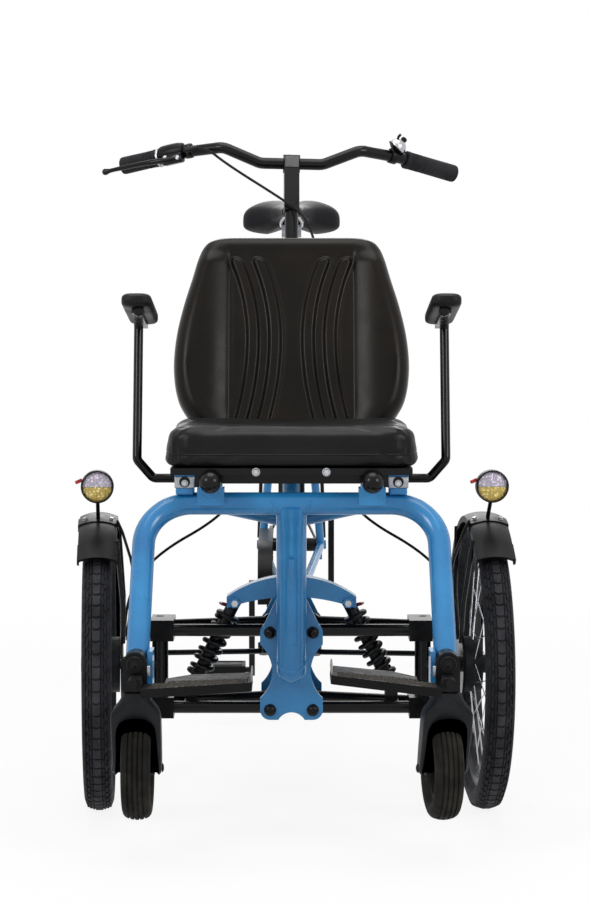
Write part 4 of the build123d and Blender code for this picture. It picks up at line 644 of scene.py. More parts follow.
def dressed_tyre(name, body, place, radius, width, rim_depth, rows, node):
    """A tyre with its tread blocks; a row is a place across, a count, a block's size, its bow and a turn."""
    profile = tyre_profile(radius, width, rim_depth, 2.2)
    meshes = [meshed(name, round_body(profile + [profile[0]], 96), place, TYRE)]
    for x, count, size, corner, turn in rows:
        shape = block(size, 0.7, x, radius, width, -size[2] / 2, corner)
        face = TREAD if x == 0.0 else TYRE
        meshes.append(ringed(shape, count, radius, face, place @ Matrix.Rotation(turn, 4, "X")))
    made = keep(name, joined(meshes), None, body, 30)
    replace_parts(made, node)
    return made


FRONT_ROWS = ((0.0, 76, (13.0, 17.0, 3.4), 2.6, 0.0),
              (-9.6, 76, (3.6, 17.5, 3.0), 0.0, 0.0), (9.6, 76, (3.6, 17.5, 3.0), 0.0, 0.0),
              (-14.6, 76, (4.4, 14.0, 3.2), 0.0, 0.041), (14.6, 76, (4.4, 14.0, 3.2), 0.0, 0.041),
              (-19.0, 76, (3.0, 15.0, 3.0), 0.0, 0.02), (19.0, 76, (3.0, 15.0, 3.0), 0.0, 0.02))
REAR_ROWS = ((0.0, 100, (12.0, 17.0, 3.4), 2.6, 0.0),
             (-9.0, 100, (3.4, 17.5, 3.0), 0.0, 0.0), (9.0, 100, (3.4, 17.5, 3.0), 0.0, 0.0),
             (-14.0, 100, (4.2, 14.0, 3.2), 0.0, 0.03), (14.0, 100, (4.2, 14.0, 3.2), 0.0, 0.03))
for name, side in SIDES:
    dressed_tyre(f"{name}_tyre", f"{name}_front_wheel", FRONT_WHEEL[side], FRONT_R, 50.0, 40.0, FRONT_ROWS,
                 f"{name}_front_tyre")
dressed_tyre("back_tyre", "rear_wheel", REAR_WHEEL, REAR_R, 46.0, 36.8, REAR_ROWS, "rear_tyre")


def wheel_finish(place, rim_inner, hub_outer):
    """Rim black, spokes bright, hub dark, by the distance from the axle."""
    back = place.inverted()

    def choose(middle):
        local = back @ middle
        reach = math.hypot(local.y, local.z)
        return 0 if reach > rim_inner else 1 if reach > hub_outer else 2
    return choose


for name, side in SIDES:
    paint(f"{name}_front_wheel", [RIM, STEEL, DARK_STEEL], wheel_finish(FRONT_WHEEL[side], 192.0, 48.5))
paint("rear_wheel", [RIM, STEEL, DARK_STEEL], wheel_finish(REAR_WHEEL, 276.0, 34.5))


# Chair

def swollen(pad, held_below, pressure, cap):
    """Cloth pressure inside a pad whose underside is held; no point moves further than the cap, in metres."""
    mesh = pad.data
    before = [v.co.copy() for v in mesh.vertices]
    held = pad.vertex_groups.new(name="held")
    held.add([v.index for v in mesh.vertices if v.co.z < held_below], 1.0, "REPLACE")
    cloth = pad.modifiers.new("padding", "CLOTH")
    cloth.settings.quality = 6
    cloth.settings.mass = 0.4
    cloth.settings.use_pressure = True
    cloth.settings.uniform_pressure_force = pressure
    cloth.settings.tension_stiffness = cloth.settings.compression_stiffness = 18
    cloth.settings.bending_stiffness = 1.2
    cloth.settings.effector_weights.gravity = 0
    cloth.settings.vertex_group_mass = "held"
    for step in range(1, 21):
        scene.frame_set(step)
    graph = bpy.context.evaluated_depsgraph_get()
    after = [v.co.copy() for v in pad.evaluated_get(graph).data.vertices]
    pad.modifiers.remove(cloth)
    for vertex, old, new in zip(mesh.vertices, before, after):
        shift = new - old
        if shift.length > cap:
            shift *= cap / shift.length
        vertex.co = old + shift
    pad.vertex_groups.clear()
    scene.frame_set(1)


def remeshed(shape, voxel, name):
    """A closed shape in vehicle millimetres as an even mesh in metres."""
    made = bpy.data.objects.new(name, meshed(name, shape))
    scene.collection.objects.link(made)
    remesh = made.modifiers.new("even", "REMESH")
    remesh.mode = "VOXEL"
    remesh.voxel_size = voxel
    bpy.context.view_layer.update()
    graph = bpy.context.evaluated_depsgraph_get()
    even = bpy.data.meshes.new_from_object(made.evaluated_get(graph))
    made.modifiers.clear()
    made.data = even
    return made


def cushion_outline(half_w, front, rear, corner, steps=10):
    """A rounded rectangle in plan, with its front edge bowed forwards."""
    points = []
    middle = (front + rear) / 2
    for sx, sy, first in ((1, 1, 0), (-1, 1, 90), (-1, -1, 180), (1, -1, 270)):
        cx, cy = sx * (half_w - corner), (rear if sy > 0 else front) - sy * corner
        for i in range(steps + 1):
            a = math.radians(first + 90 * i / steps)
            x, y = cx + corner * math.cos(a), cy + corner * math.sin(a)
            bow = 5.0 * max(0.0, 1 - (x / half_w) ** 2) * (1 if y < middle else 0)
            points.append((x, y - bow))
    return points


SEAT_LOW, SEAT_HIGH, SEAM_Z = 607.6, 677.0, 629.0
SEAT_MIDDLE, SEAT_HALF_WIDE, SEAT_HALF_LONG = -73.5, 215.5, 176.0


def seat_pad():
    """The seat's cushion, swollen by cloth pressure, with a sewn seam round its side."""
    shape = slab(cushion_outline(209.0, -242.0, 98.0, 44.0), SEAT_LOW + 0.6, SEAT_HIGH - 7.0, 14.0, 4)
    pad = remeshed(shape, 0.0055, "seat_pad")
    swollen(pad, (SEAT_LOW + 4.0) / 1000, 4.2, 0.006)
    for vertex in pad.data.vertices:
        x, y, z = vertex.co.x * 1000, vertex.co.y * 1000 + AXLE_BACK, vertex.co.z * 1000
        top = max(0.0, min(1.0, (z - 640.0) / 25.0))
        dish = 5.0 * math.exp(-((x / 150.0) ** 2 + ((y + 60.0) / 120.0) ** 2))
        vertex.co.z -= dish * top / 1000
        side = max(abs(x) / SEAT_HALF_WIDE, abs(y - SEAT_MIDDLE) / SEAT_HALF_LONG)
        pull = 2.6 * math.exp(-((z - SEAM_Z) / 3.2) ** 2) * max(0.0, min(1.0, (side - 0.85) / 0.1))
        middle = Vector((x * 0.75, SEAT_MIDDLE + (y - SEAT_MIDDLE) * 0.6, z))
        vertex.co += (middle - Vector((x, y, z))).normalized() * pull / 1000
        ripple = noise.noise(Vector((x, y, z)) / 46.0) * 1.1 + noise.noise(Vector((x, y, z)) / 17.0) * 0.35
        vertex.co += vertex.normal * ripple * top / 1000
        vertex.co.z = max(vertex.co.z, SEAT_LOW / 1000)
    smooth = pad.modifiers.new("fine", "SUBSURF")
    smooth.levels = smooth.render_levels = 1
    pad.data.materials.append(SEAT)
    pad.data.polygons.foreach_set("use_smooth", [True] * len(pad.data.polygons))
    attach(pad, "frame")
    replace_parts(pad, "seat_cushion")
    return pad


def seat_seam(pad):
    """A thin piping that follows the seat's side at the seam."""
    surface = BVHTree.FromPolygons([v.co for v in pad.data.vertices], [p.vertices for p in pad.data.polygons])
    line = []
    for i in range(160):
        a = 2 * math.pi * i / 160
        far = TO_ROW @ Vector((330 * math.cos(a), SEAT_MIDDLE + 330 * math.sin(a), SEAM_Z))
        hub = TO_ROW @ Vector((120 * math.cos(a), SEAT_MIDDLE + 88 * math.sin(a), SEAM_Z))
        spot = surface.ray_cast(far, hub - far)[0]
        if spot is not None:
            line.append(TO_ROW.inverted() @ spot)
    finished("seat_piping", tube(line, 1.5, 8, closed=True), SEAT, "frame")


pad = seat_pad()
seat_seam(pad)

BACK_LENGTH, BACK_HALF, BACK_THICK = 387.0, 212.0, 55.6
# share of the back's length, share of its half width
BACK_EDGE = ((0.0, 0.66), (0.05, 0.765), (0.1, 0.85), (0.2, 0.955), (0.345, 1.0), (0.5, 0.985), (0.65, 0.93),
             (0.8, 0.85), (0.9, 0.797), (0.95, 0.755), (0.98, 0.70), (1.0, 0.60))
# ribs on one side of the back: how far out their line is at the foot, the waist and the head
BACK_RIBS = ((49.0, 29.5, 60.0), (89.0, 69.0, 100.0))


def smooth_table(table, at):
    """A smooth value between a table's rows, through every row."""
    count = len(table)
    k = max(i for i in range(count - 1) if table[i][0] <= at or i == 0)
    (a, pa), (b, pb) = table[k], table[k + 1]
    before, after = table[max(k - 1, 0)], table[min(k + 2, count - 1)]
    slope_a = (pb - before[1]) / max(b - before[0], 1e-6)
    slope_b = (after[1] - pa) / max(after[0] - a, 1e-6)
    t, run = (at - a) / (b - a), b - a
    return ((2 * t ** 3 - 3 * t * t + 1) * pa + (t ** 3 - 2 * t * t + t) * run * slope_a
            + (3 * t * t - 2 * t ** 3) * pb + (t ** 3 - t * t) * run * slope_b)


def eased(value):
    """From 0 to 1 with a soft start and stop."""
    value = max(0.0, min(1.0, value))
    return value * value * (3 - 2 * value)


def domed(distance, radius):
    """The height of a quarter circle, from 0 at its edge to 1 a radius in."""
    inside = max(0.0, min(1.0, distance / radius))
    return math.sqrt(max(0.0, 1 - (1 - inside) ** 2))


def back_relief(x, s):
    """How far the back's face stands out at a place across and up it, in millimetres."""
    reach = abs(x)
    swell = max(0.0, min(1.0, (reach - 112.0) / 62.0))
    fade = eased((BACK_LENGTH - 12.0 - s) / 42.0) * (0.5 + 0.5 * eased(s / 70.0))
    stand = 17.0 * (1 - (1 - swell) ** 2) * fade
    stand -= 1.1 * math.exp(-((reach - 110.0) / 5.0) ** 2) * fade
    for foot, waist, head in BACK_RIBS:
        t = (s - 192.0) / 148.0
        line = waist + ((head if t > 0 else foot) - waist) * t * t
        off = math.hypot(reach - line, max(0.0, s - 333.0))
        stand += 6.4 * eased((13.0 - off) / 6.5)
        stand -= 1.2 * math.exp(-((off - 15.5) / 3.0) ** 2)
    stand += 2.5 * eased((s - 352.0) / 24.0)
    return stand


def back_pad():
    """The moulded back: bolsters at the sides, four curved ribs and a rounded rim."""
    shape = bmesh.new()
    rows, columns = 150, 200
    rim_z, front_z, back_z = -34.0, -16.0, -BACK_THICK
    front_rows, back_rows = [], []
    for r in range(rows + 1):
        v = 0.5 - 0.5 * math.cos(math.pi * r / rows)
        v = 0.5 * v + 0.5 * r / rows
        s = BACK_LENGTH * v
        half = BACK_HALF * smooth_table(BACK_EDGE, v) - 0.5
        ends = domed(BACK_LENGTH - s, 26.0) * domed(s, 22.0)
        front, rear = [], []
        for c in range(columns + 1):
            u = math.sin(math.pi * (c / columns - 0.5)) * 0.35 + 0.65 * (2 * c / columns - 1)
            x = half * u
            side = half - abs(x)
            bulge = ends * domed(side, 30.0)
            z = rim_z + (front_z + back_relief(x, s) - rim_z) * bulge
            spot = shape.verts.new((x, s, z))
            edge = c in (0, columns) or r in (0, rows)
            front.append(spot)
            under = domed(min(side, s, BACK_LENGTH - s), 14.0)
            rear.append(spot if edge else shape.verts.new((x, s, rim_z + (back_z - rim_z) * under)))
        front_rows.append(front)
        back_rows.append(rear)
    for grid, flip in ((front_rows, False), (back_rows, True)):
        for near, far in zip(grid, grid[1:]):
            for c in range(columns):
                corners = (near[c], near[c + 1], far[c + 1], far[c])
                shape.faces.new(corners[::-1] if flip else corners)
    made = finished("back_pad", shape, BACK, "frame", BACK_PLANE, 75)
    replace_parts(made, "backrest_cushion")


back_pad()

ARM_PAD_MID, ARM_PAD_Z, ARM_PAD_X = -65.0, 854.0, 257.0


def arm_pad(name, side):
    """A moulded arm pad with rounded ends, and the small knob under it."""
    shape = bmesh.new()
    long, wide, deep = 250.0, 50.0, 24.0
    rows, around = 40, 36
    rings = []
    for r in range(rows + 1):
        t = r / rows
        y = -long / 2 + long * t
        end = min(t, 1 - t) * long
        cut = 1.0 if end >= 22.0 else math.sqrt(max(0.0, 1 - ((22.0 - end) / 22.0) ** 2))
        ring = []
        for i in range(around):
            a = 2 * math.pi * i / around
            c, d = math.cos(a), math.sin(a)
            x = wide / 2 * (0.55 + 0.45 * cut) * math.copysign(abs(c) ** 0.55, c)
            z = deep / 2 + deep / 2 * math.copysign(abs(d) ** 0.6, d) * (0.45 + 0.55 * cut)
            z += 1.5 * math.sin(math.pi * t) * max(0.0, d)
            ring.append(shape.verts.new((x, y, z)))
        rings.append(ring)
    skinned(shape, rings)
    place = Matrix.Translation((side * ARM_PAD_X, ARM_PAD_MID, ARM_PAD_Z)) @ Matrix.Rotation(
        math.radians(-8.0), 4, "X")
    made = finished(f"{name}_arm_foam", shape, PAD, f"{name}_armrest", place, 50)
    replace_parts(made, f"{name}_arm_pad")
    knob = round_body([(0, 0), (0, 7.5), (1.5, 9.0), (9.0, 9.0), (11.0, 7.0), (12.0, 0)], 24)
    spot = place @ Matrix.Translation((-side * 4.0, -96.0, -5.0)) @ Matrix.Rotation(math.radians(-90), 4, "Z")
    finished(f"{name}_arm_knob", knob, BLACK, f"{name}_armrest", spot)


for name, side in SIDES:
    arm_pad(name, side)


# Setting small pieces on the CAD's surfaces

def skin(*names):
    """A search tree over CAD nodes."""
    points, faces = [], []
    for node in names:
        mesh = nodes[node].data
        first = len(points)
        points += [v.co.copy() for v in mesh.vertices]
        faces += [[first + i for i in p.vertices] for p in mesh.polygons]
    return BVHTree.FromPolygons(points, faces)


def touch(tree, start, direction):
    """Where a line from a point meets a surface, and the way that the surface faces there."""
    spot, normal, _, _ = tree.ray_cast(TO_ROW @ Vector(start), Vector(direction).normalized())
    if spot is None:
        return None, None
    return TO_ROW.inverted() @ spot, normal


def along(point, direction, roll_to=(0, 0, 1)):
    """The place of a turned piece whose own X runs along a direction."""
    return facing(point, direction, roll_to) @ UPRIGHT


def hex_head(across, high, washer=1.5):
    """A six-sided bolt head that stands on Z, on its washer."""
    shape = bmesh.new()
    reach = across / math.sqrt(3)
    rings = []
    for z, share in ((washer, 1.0), (washer + high * 0.82, 1.0), (washer + high, 0.87)):
        rings.append([shape.verts.new((reach * share * math.cos(math.pi * i / 3),
                                       reach * share * math.sin(math.pi * i / 3), z)) for i in range(6)])
    skinned(shape, rings)
    disc = round_body([(0, 0), (0, reach * 1.22), (washer, reach * 1.18), (washer, 0)], 18)
    return added(shape, moved(disc, UPRIGHT))


def dome_head(radius, high):
    """A domed cap that stands on Z, with a small recess."""
    profile = [(0, 0), (0, radius), (high * 0.35, radius * 0.96), (high * 0.7, radius * 0.78),
               (high * 0.95, radius * 0.5), (high, radius * 0.34), (high * 0.7, radius * 0.3), (high * 0.7, 0)]
    return moved(round_body(profile, 20), UPRIGHT)


def weld(name, line, body, finish=BLUE, size=1.0):
    """Overlapping weld scales along a line; each place is a point and the way it faces."""
    places = []
    for i, (spot, way) in enumerate(line):
        ahead = line[min(i + 1, len(line) - 1)][0] - line[max(i - 1, 0)][0]
        places.append((spot, way, ahead.normalized()))
    scale = bmesh.new()
    bmesh.ops.create_icosphere(scale, subdivisions=2, radius=1.0)
    bmesh.ops.scale(scale, vec=Vector((3.0, 2.3, 1.5)), verts=scale.verts)
    spotted(name, scale, places, finish, body, size)


def arc_swept(profile, first, last, steps, flare=0.0):
    """A closed profile of (x, radius) points carried round the wheel's axle from one angle to another."""
    shape = bmesh.new()
    rings = []
    for i in range(steps + 1):
        t = i / steps
        a = math.radians(first + (last - first) * t)
        out = flare * t * t
        rings.append([shape.verts.new((x, (r + out) * math.cos(a), (r + out) * math.sin(a))) for x, r in profile])
    return skinned(shape, rings)


# Shock absorbers

def coil(name, side):
    """The shock absorber's coil, wound round the damper between its two cups, and its red adjuster."""
    top, low = Vector((side * 98.0, -4.0, 360.0)), Vector((side * 173.0, -4.0, 212.0))
    first, last = top.lerp(low, 0.2), top.lerp(low, 0.82)
    run = (last - first).normalized()
    across = run.orthogonal().normalized()
    up = run.cross(across)
    turns, steps = 6.5, 26
    count = int(turns * steps)
    line = []
    for i in range(count + 1):
        t = i / count
        a = 2 * math.pi * turns * t
        line.append(first.lerp(last, t) + (across * math.cos(a) + up * math.sin(a)) * 17.0)
    cups = []
    for at, flip in ((first, -1), (last, 1)):
        cup = round_body([(-3, 0), (-3, 20.0), (-1, 21.5), (3, 21.5), (5, 19.0), (5, 0)], 28)
        cups.append(moved(cup, along(at + run * flip * 4.0, run * flip)))
    made = finished(f"{name}_coil", tube(line, 4.4, 12), BLACK, "frame")
    finished(f"{name}_coil_cups", added(*cups), DARK_STEEL, "frame")
    valve = top + Vector((side * 10.0, -2.0, -7.0))
    out = Vector((side * 0.82, -0.2, 0.25)).normalized()
    stem = round_body([(0, 0), (0, 3.4), (14.0, 3.0), (14.0, 0)], 14)
    wing = moved(soft_box((4.5, 4.5, 15.0), 1.6, 2), Matrix.Translation((15.5, 0, 0)))
    finished(f"{name}_adjuster", added(stem, wing), RED, "frame", along(valve, out))
    return made


for name, side in SIDES:
    made = coil(name, side)
    if side == LEFT:
        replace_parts(made, "shock_springs")


# Castors

def castor_fork(name, side):
    """A moulded fork: a shouldered crown, an arched mouth and two round-ended legs that trail back."""
    half = [(0, 268.5), (13.0, 268.5), (19.5, 267.0), (21.5, 262.0), (24.0, 254.5), (29.5, 247.0), (35.0, 240.5),
            (38.4, 232.0), (39.4, 222.0), (39.4, 190.0), (39.2, 160.0), (38.8, 140.0), (37.6, 131.5), (34.4, 127.6),
            (31.2, 131.0), (29.4, 140.0), (28.4, 170.0), (28.0, 196.0), (26.6, 207.0), (22.6, 215.5), (15.0, 221.0),
            (0, 223.5)]
    outline = half + [(-x, z) for x, z in half[-2:0:-1]]
    shape = bmesh.new()
    front, rear = [], []
    for x, z in outline:
        t = max(0.0, min(1.0, (232.0 - z) / 95.0))
        middle = CASTOR_Y + CASTOR_TRAIL * t
        deep = 20.5 - 4.5 * t - 3.0 * max(0.0, (z - 255.0) / 14.0)
        if z < 136.0:
            deep -= (136.0 - z) * 0.5
        front.append(shape.verts.new((side * CASTOR_X + x, middle - deep, z)))
        rear.append(shape.verts.new((side * CASTOR_X + x, middle + deep, z)))
    count = len(outline)
    shape.faces.new(front)
    shape.faces.new(rear[::-1])
    for i in range(count):
        shape.faces.new((front[i], rear[i], rear[(i + 1) % count], front[(i + 1) % count]))
    bmesh.ops.recalc_face_normals(shape, faces=shape.faces)
    rims = [e for e in shape.edges if (e.verts[0] in front) == (e.verts[1] in front)]
    bmesh.ops.bevel(shape, geom=rims, offset=4.2, segments=3, affect="EDGES", profile=0.5)
    collar = round_body([(260.0, 0), (260.0, 15.0), (269.8, 15.0), (269.8, 0)], 28)
    collar = moved(collar, along((side * CASTOR_X, CASTOR_Y, 0), (0, 0, 1)))
    made = finished(f"{name}_moulded_fork", added(shape, collar), FORK, f"{name}_castor_fork", CASTOR[side], 42)
    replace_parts(made, f"{name}_castor_fork")
    back = CASTOR[side].to_3x3()
    places = []
    for out in (1, -1):
        spot = CASTOR[side] @ Vector((side * CASTOR_X + out * 38.6, CASTOR_Y + CASTOR_TRAIL, CASTOR_Z))
        places.append((spot, back @ Vector((out, 0, 0)), Vector((0, 0, 1))))
    spotted(f"{name}_castor_axle_ends", dome_head(7.5, 3.4), places, DARK_STEEL, f"{name}_castor_fork")


def castor_wheel(name, side):
    """A solid round tyre with three ribs on a moulded hub with five spokes."""
    place = CASTOR[side] @ Matrix.Translation((side * CASTOR_X, CASTOR_Y + CASTOR_TRAIL, CASTOR_Z))
    profile = [(-13.5, 51.0), (-19.5, 55.0), (-22.8, 60.0), (-23.5, 65.5), (-22.9, 70.5), (-21.6, 74.2), (-19.4, 77.0),
               (-16.4, 79.0)]
    shoulder = len(profile)
    for x in (-11.6, -4.0, 4.0, 11.6):
        for off, drop in ((-1.5, 0.0), (-0.9, 2.2), (0.9, 2.2), (1.5, 0.0)):
            profile.append((x + off, 82.5 - 0.0125 * (x + off) ** 2 - drop))
    profile += [(-x, r) for x, r in profile[shoulder - 1::-1]]
    rubber = finished(f"{name}_ribbed_tyre", round_body(profile + [profile[0]], 72), CASTOR_RUBBER,
                      f"{name}_castor_wheel", place, 28)
    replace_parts(rubber, f"{name}_castor_wheel")
    rim = round_body([(-27.4, 0), (-27.4, 11.0), (-12.0, 13.0), (-9.0, 18.0), (-4.0, 20.0), (-4.0, 43.0), (-12.5, 45.0),
                      (-14.0, 52.0), (14.0, 52.0), (12.5, 45.0), (4.0, 43.0), (4.0, 20.0), (9.0, 18.0), (12.0, 13.0),
                      (27.4, 11.0), (27.4, 0)], 48)
    spokes = ringed(soft_box((17.0, 8.0, 30.0), 2.0, 2), 5, 31.0, PLASTIC, place)
    keep(f"{name}_castor_hub", joined([meshed("hub", rim, place, PLASTIC), spokes]), None, f"{name}_castor_wheel")


def castor_housing_trim(name, side):
    """The recessed screw in the housing's cap, the bright latch beside it and a black block below the cap that is
    painted shade in the housing's slot.
    """
    screw = [((side * CASTOR_X, -443.0, 313.0), (0, -1, 0), (0, 0, 1))]
    rim = moved(round_body([(0, 9.5), (0, 13.4), (1.4, 12.6), (1.4, 10.2), (0, 9.5)], 32), UPRIGHT)
    spotted(f"{name}_cap_rim", rim, screw, HOUSING, "frame")
    spotted(f"{name}_cap_screw", hex_head(8.5, 1.4, 0.4), screw, BLACK, "frame")
    finished(f"{name}_latch", soft_box((5.0, 8.0, 17.0), 1.2), ALUMINIUM, "frame",
             Matrix.Translation((side * 223.0, -441.5, 303.0)))
    # a thin black block on the housing's face: painted shade where its slot is
    finished(f"{name}_housing_slot", soft_box((27.0, 3.0, 6.0), 1.4), BLACK, "frame",
             Matrix.Translation((side * CASTOR_X, -437.4, 283.0)))


for name, side in SIDES:
    castor_fork(name, side)
    castor_wheel(name, side)
    castor_housing_trim(name, side)


# Footplates

FOOT_TILT = {LEFT: 5.5, RIGHT: 2.0}


def foot_trim(name, side):
    """Small moulded ridges on the plate's top and front edge, and a pale edge at its inner end."""
    tree = skin(f"{name}_footplate")
    places = []
    for i in range(17):
        for j in range(7):
            x, y = 74.0 + 9.0 * i, -494.0 + 10.0 * j
            spot, normal = touch(tree, (side * x, y, 420.0), (0, 0, -1))
            if spot is None or normal.z < 0.8:
                continue
            lean = 0.55 if (i // 2 + j) % 2 else -0.55
            places.append((spot, normal, Vector((lean, 0.83, 0.0))))
            places.append((spot + Vector((4.5, 5.0, 0)) + Vector((0, 0, (normal.x * -4.5))), normal,
                           Vector((-lean, 0.83, 0.0))))
    for i in range(30):
        for j in (0, 1):
            rise = math.tan(math.radians(FOOT_TILT[side])) * (246.0 - 72.0 - 5.2 * i)
            spot, normal = touch(tree, (side * (72.0 + 5.2 * i), -640.0, 287.2 + 5.6 * j + rise), (0, 1, 0))
            if spot is None or normal.y > -0.4:
                continue
            lean = 0.5 if (i // 3 + j) % 2 else -0.5
            places.append((spot, normal, Vector((lean, 0.0, 0.86))))
    spotted(f"{name}_foot_grip", soft_box((2.2, 6.4, 2.0), 0.6, 1), places, FOOT_GRIP, f"{name}_footplate")
    tilt = turned_about((side * 246.0, 0, 290.0), "Y", side * math.radians(FOOT_TILT[side]))
    edge = soft_box((2.6, 92.0, 12.0), 1.1)
    finished(f"{name}_foot_edge", edge, PALE_EDGE, f"{name}_footplate",
             tilt @ Matrix.Translation((side * 62.0, -423.0, 290.0)))


for name, side in SIDES:
    foot_trim(name, side)


# Lamps and mudguards at the front

def lamp_glass(upper):
    """Half of the lamp's fluted reflector, domed a little, in its own X."""
    shape = bmesh.new()
    rows, steps = 14, 40
    grid = []
    for r in range(rows + 1):
        reach = 24.4 * r / rows
        line = []
        for i in range(steps + 1):
            a = math.pi * i / steps * (1 if upper else -1)
            y, z = reach * math.cos(a), reach * math.sin(a)
            x = 19.6 - 3.4 * (reach / 24.4) ** 2 + 0.55 * abs(math.sin(y * 0.62)) * min(1.0, r / 3)
            line.append(shape.verts.new((x, y, z + (0.25 if upper else -0.25))))
        grid.append(line)
    for near, far in zip(grid, grid[1:]):
        for i in range(steps):
            shape.faces.new((near[i], near[i + 1], far[i + 1], far[i]))
    bmesh.ops.remove_doubles(shape, verts=shape.verts, dist=0.01)
    bmesh.ops.recalc_face_normals(shape, faces=shape.faces)
    bmesh.ops.solidify(shape, geom=list(shape.faces), thickness=1.2)
    return shape


def front_lamp(name, side):
    """A round lamp with its rim, its two-part reflector, its post and a red tab."""
    body = f"{name}_knuckle"
    place = KNUCKLE[side] @ along((side * TRACK_HALF, -100.0, 568.0), (0, -1, 0))
    shell = round_body([(-22.0, 0), (-22.0, 14.0), (-20.5, 15.6), (-6.0, 23.0), (0.0, 26.6), (3.0, 27.8), (19.0, 27.8),
                        (21.4, 27.2), (22.0, 26.0), (21.6, 24.9), (19.0, 24.6), (14.0, 24.4), (14.0, 0)], 56)
    made = finished(f"{name}_lamp_shell", shell, HOUSING, body, place)
    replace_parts(made, f"{name}_lamp")
    level = place @ Matrix.Rotation(math.radians(-90), 4, "X")
    finished(f"{name}_lamp_upper", lamp_glass(True), LILAC_GLASS, body, level, 20)
    finished(f"{name}_lamp_lower", lamp_glass(False), YELLOW_GLASS, body, level, 20)
    bar = soft_box((1.6, 48.0, 1.4), 0.5, 1)
    finished(f"{name}_lamp_bar", bar, ALUMINIUM, body, level @ Matrix.Translation((19.4, 0, 0)))
    post = tube([(side * TRACK_HALF, -58.0, 503.0), (side * TRACK_HALF, -60.0, 513.0),
                 (side * TRACK_HALF, -80.0, 530.0), (side * TRACK_HALF, -98.0, 545.0)], 3.4, 14)
    finished(f"{name}_lamp_post", post, BLACK, body, KNUCKLE[side])
    tab = soft_box((4.0, 13.0, 6.0), 1.6)
    finished(f"{name}_lamp_tab", tab, RED_LENS, body,
             KNUCKLE[side] @ Matrix.Translation((side * TRACK_HALF - 31.0, -112.0, 577.0))
             @ Matrix.Rotation(math.radians(-24.0), 4, "Y") @ Matrix.Rotation(math.radians(90.0), 4, "Z"))


def guard_profile(radius, width, out):
    """A mudguard's cross-section, grown outwards, as a closed strip."""
    half, crown, skirt = width / 2, width * 0.12, width * 0.16
    outer = [(-half - out, radius - crown - skirt)]
    for i in range(13):
        u = -1 + i / 6
        outer.append((u * (half + out), radius + out - crown * u * u))
    outer.append((half + out, radius - crown - skirt))
    inner = [(x * (half - 1.0) / (half + out), r - out - 1.2) for x, r in outer[1:-1]]
    return outer + [(half - 1.0, radius - crown - skirt)] + inner[::-1] + [(-half + 1.0, radius - crown - skirt)]


def guard_trim(name, side):
    """The mudguard's flared lip, the band that holds the lamp's post, its screws and its stay."""
    body, place = f"{name}_knuckle", FRONT_WHEEL[side]
    lip = arc_swept(guard_profile(265.0, 64.8, 0.9), 121.0, 130.6, 10, 4.0)
    finished(f"{name}_guard_lip", lip, GUARD, body, place, 50)
    band = arc_swept(guard_profile(265.0, 64.8, 1.8), 98.0, 106.0, 8)
    finished(f"{name}_guard_band", band, HOUSING, body, place, 50)
    places = []
    for x, angle in ((-22.0, 102.0), (22.0, 102.0)):
        a = math.radians(angle)
        reach = 266.6 - 7.8 * (x / 32.4) ** 2
        way = Vector((x * 0.014, math.cos(a), math.sin(a))).normalized()
        spot = place @ Vector((x, reach * math.cos(a), reach * math.sin(a)))
        places.append((spot, place.to_3x3() @ way, Vector((0, 1, 0))))
    spotted(f"{name}_guard_screws", hex_head(7.0, 3.0, 0.8), places, STEEL, body)
    stay = tube([(side * 300.5, -66.0, 506.0), (side * 292.0, -56.0, 486.0), (side * 279.0, -30.0, 440.0),
                 (side * 272.0, -14.0, 404.0), (side * 277.0, 2.0, 360.0), (side * 284.0, 14.0, 312.0),
                 (side * 285.0, 18.0, 290.0)], 2.6, 12)
    finished(f"{name}_guard_stay", stay, BLACK, body, KNUCKLE[side])


for name, side in SIDES:
    front_lamp(name, side)
    guard_trim(name, side)


# Handlebar

BAR_END = Vector((322.0, 621.0, 1137.0))


class BarSide:
    """Places on one side of the handlebar, measured inwards from the bar's end."""

    def __init__(self, side):
        self.out = Vector((side * 0.8827, 0.4264, -0.198)).normalized()
        self.end = Vector((side * BAR_END.x, BAR_END.y, BAR_END.z))
        self.up = (Vector((0, 0, 1)) - self.out * self.out.z).normalized()
        self.ahead = self.out.cross(self.up) * side

    def at(self, inwards, ahead=0.0, up=0.0):
        return self.end - self.out * inwards + self.ahead * ahead + self.up * up

    def place(self, inwards=0.0, ahead=0.0, up=0.0):
        """A turned piece's place, with its X outwards along the bar."""
        return HANDLEBAR @ along(self.at(inwards, ahead, up), self.out)


def grip(name, side, long):
    """A rubber grip with a stepped collar, a groove and a rounded end."""
    profile = [(-long, 0), (-long, 15.8), (-long + 1.2, 17.4), (-long + 8.0, 17.4), (-long + 9.2, 16.3),
               (-long * 0.66 - 1.8, 16.6), (-long * 0.66 - 1.2, 15.5), (-long * 0.66 + 1.2, 15.5),
               (-long * 0.66 + 1.8, 16.7), (-8.0, 17.0), (0.0, 17.0), (3.2, 16.2), (4.8, 14.0), (5.4, 10.0), (5.4, 0)]
    made = finished(f"{name}_grip", round_body(profile, 48), GRIP, "handlebar", BarSide(side).place(), 30)
    ridge = soft_box((0.9, 0.9, long * 0.22), 0.3, 1)
    bar, turn = BarSide(side), HANDLEBAR.to_3x3()
    places = []
    for i in range(30):
        a = 2 * math.pi * i / 30
        way = bar.up * math.cos(a) + bar.ahead * math.sin(a)
        spot = bar.at(long * 0.8) + way * 16.4
        places.append((HANDLEBAR @ spot, turn @ bar.out, turn @ way))
    spotted(f"{name}_grip_ridges", ridge, places, GRIP, "handlebar")
    return made


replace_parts(grip("left", LEFT, 112.0), "grips")
grip("right", RIGHT, 76.0)


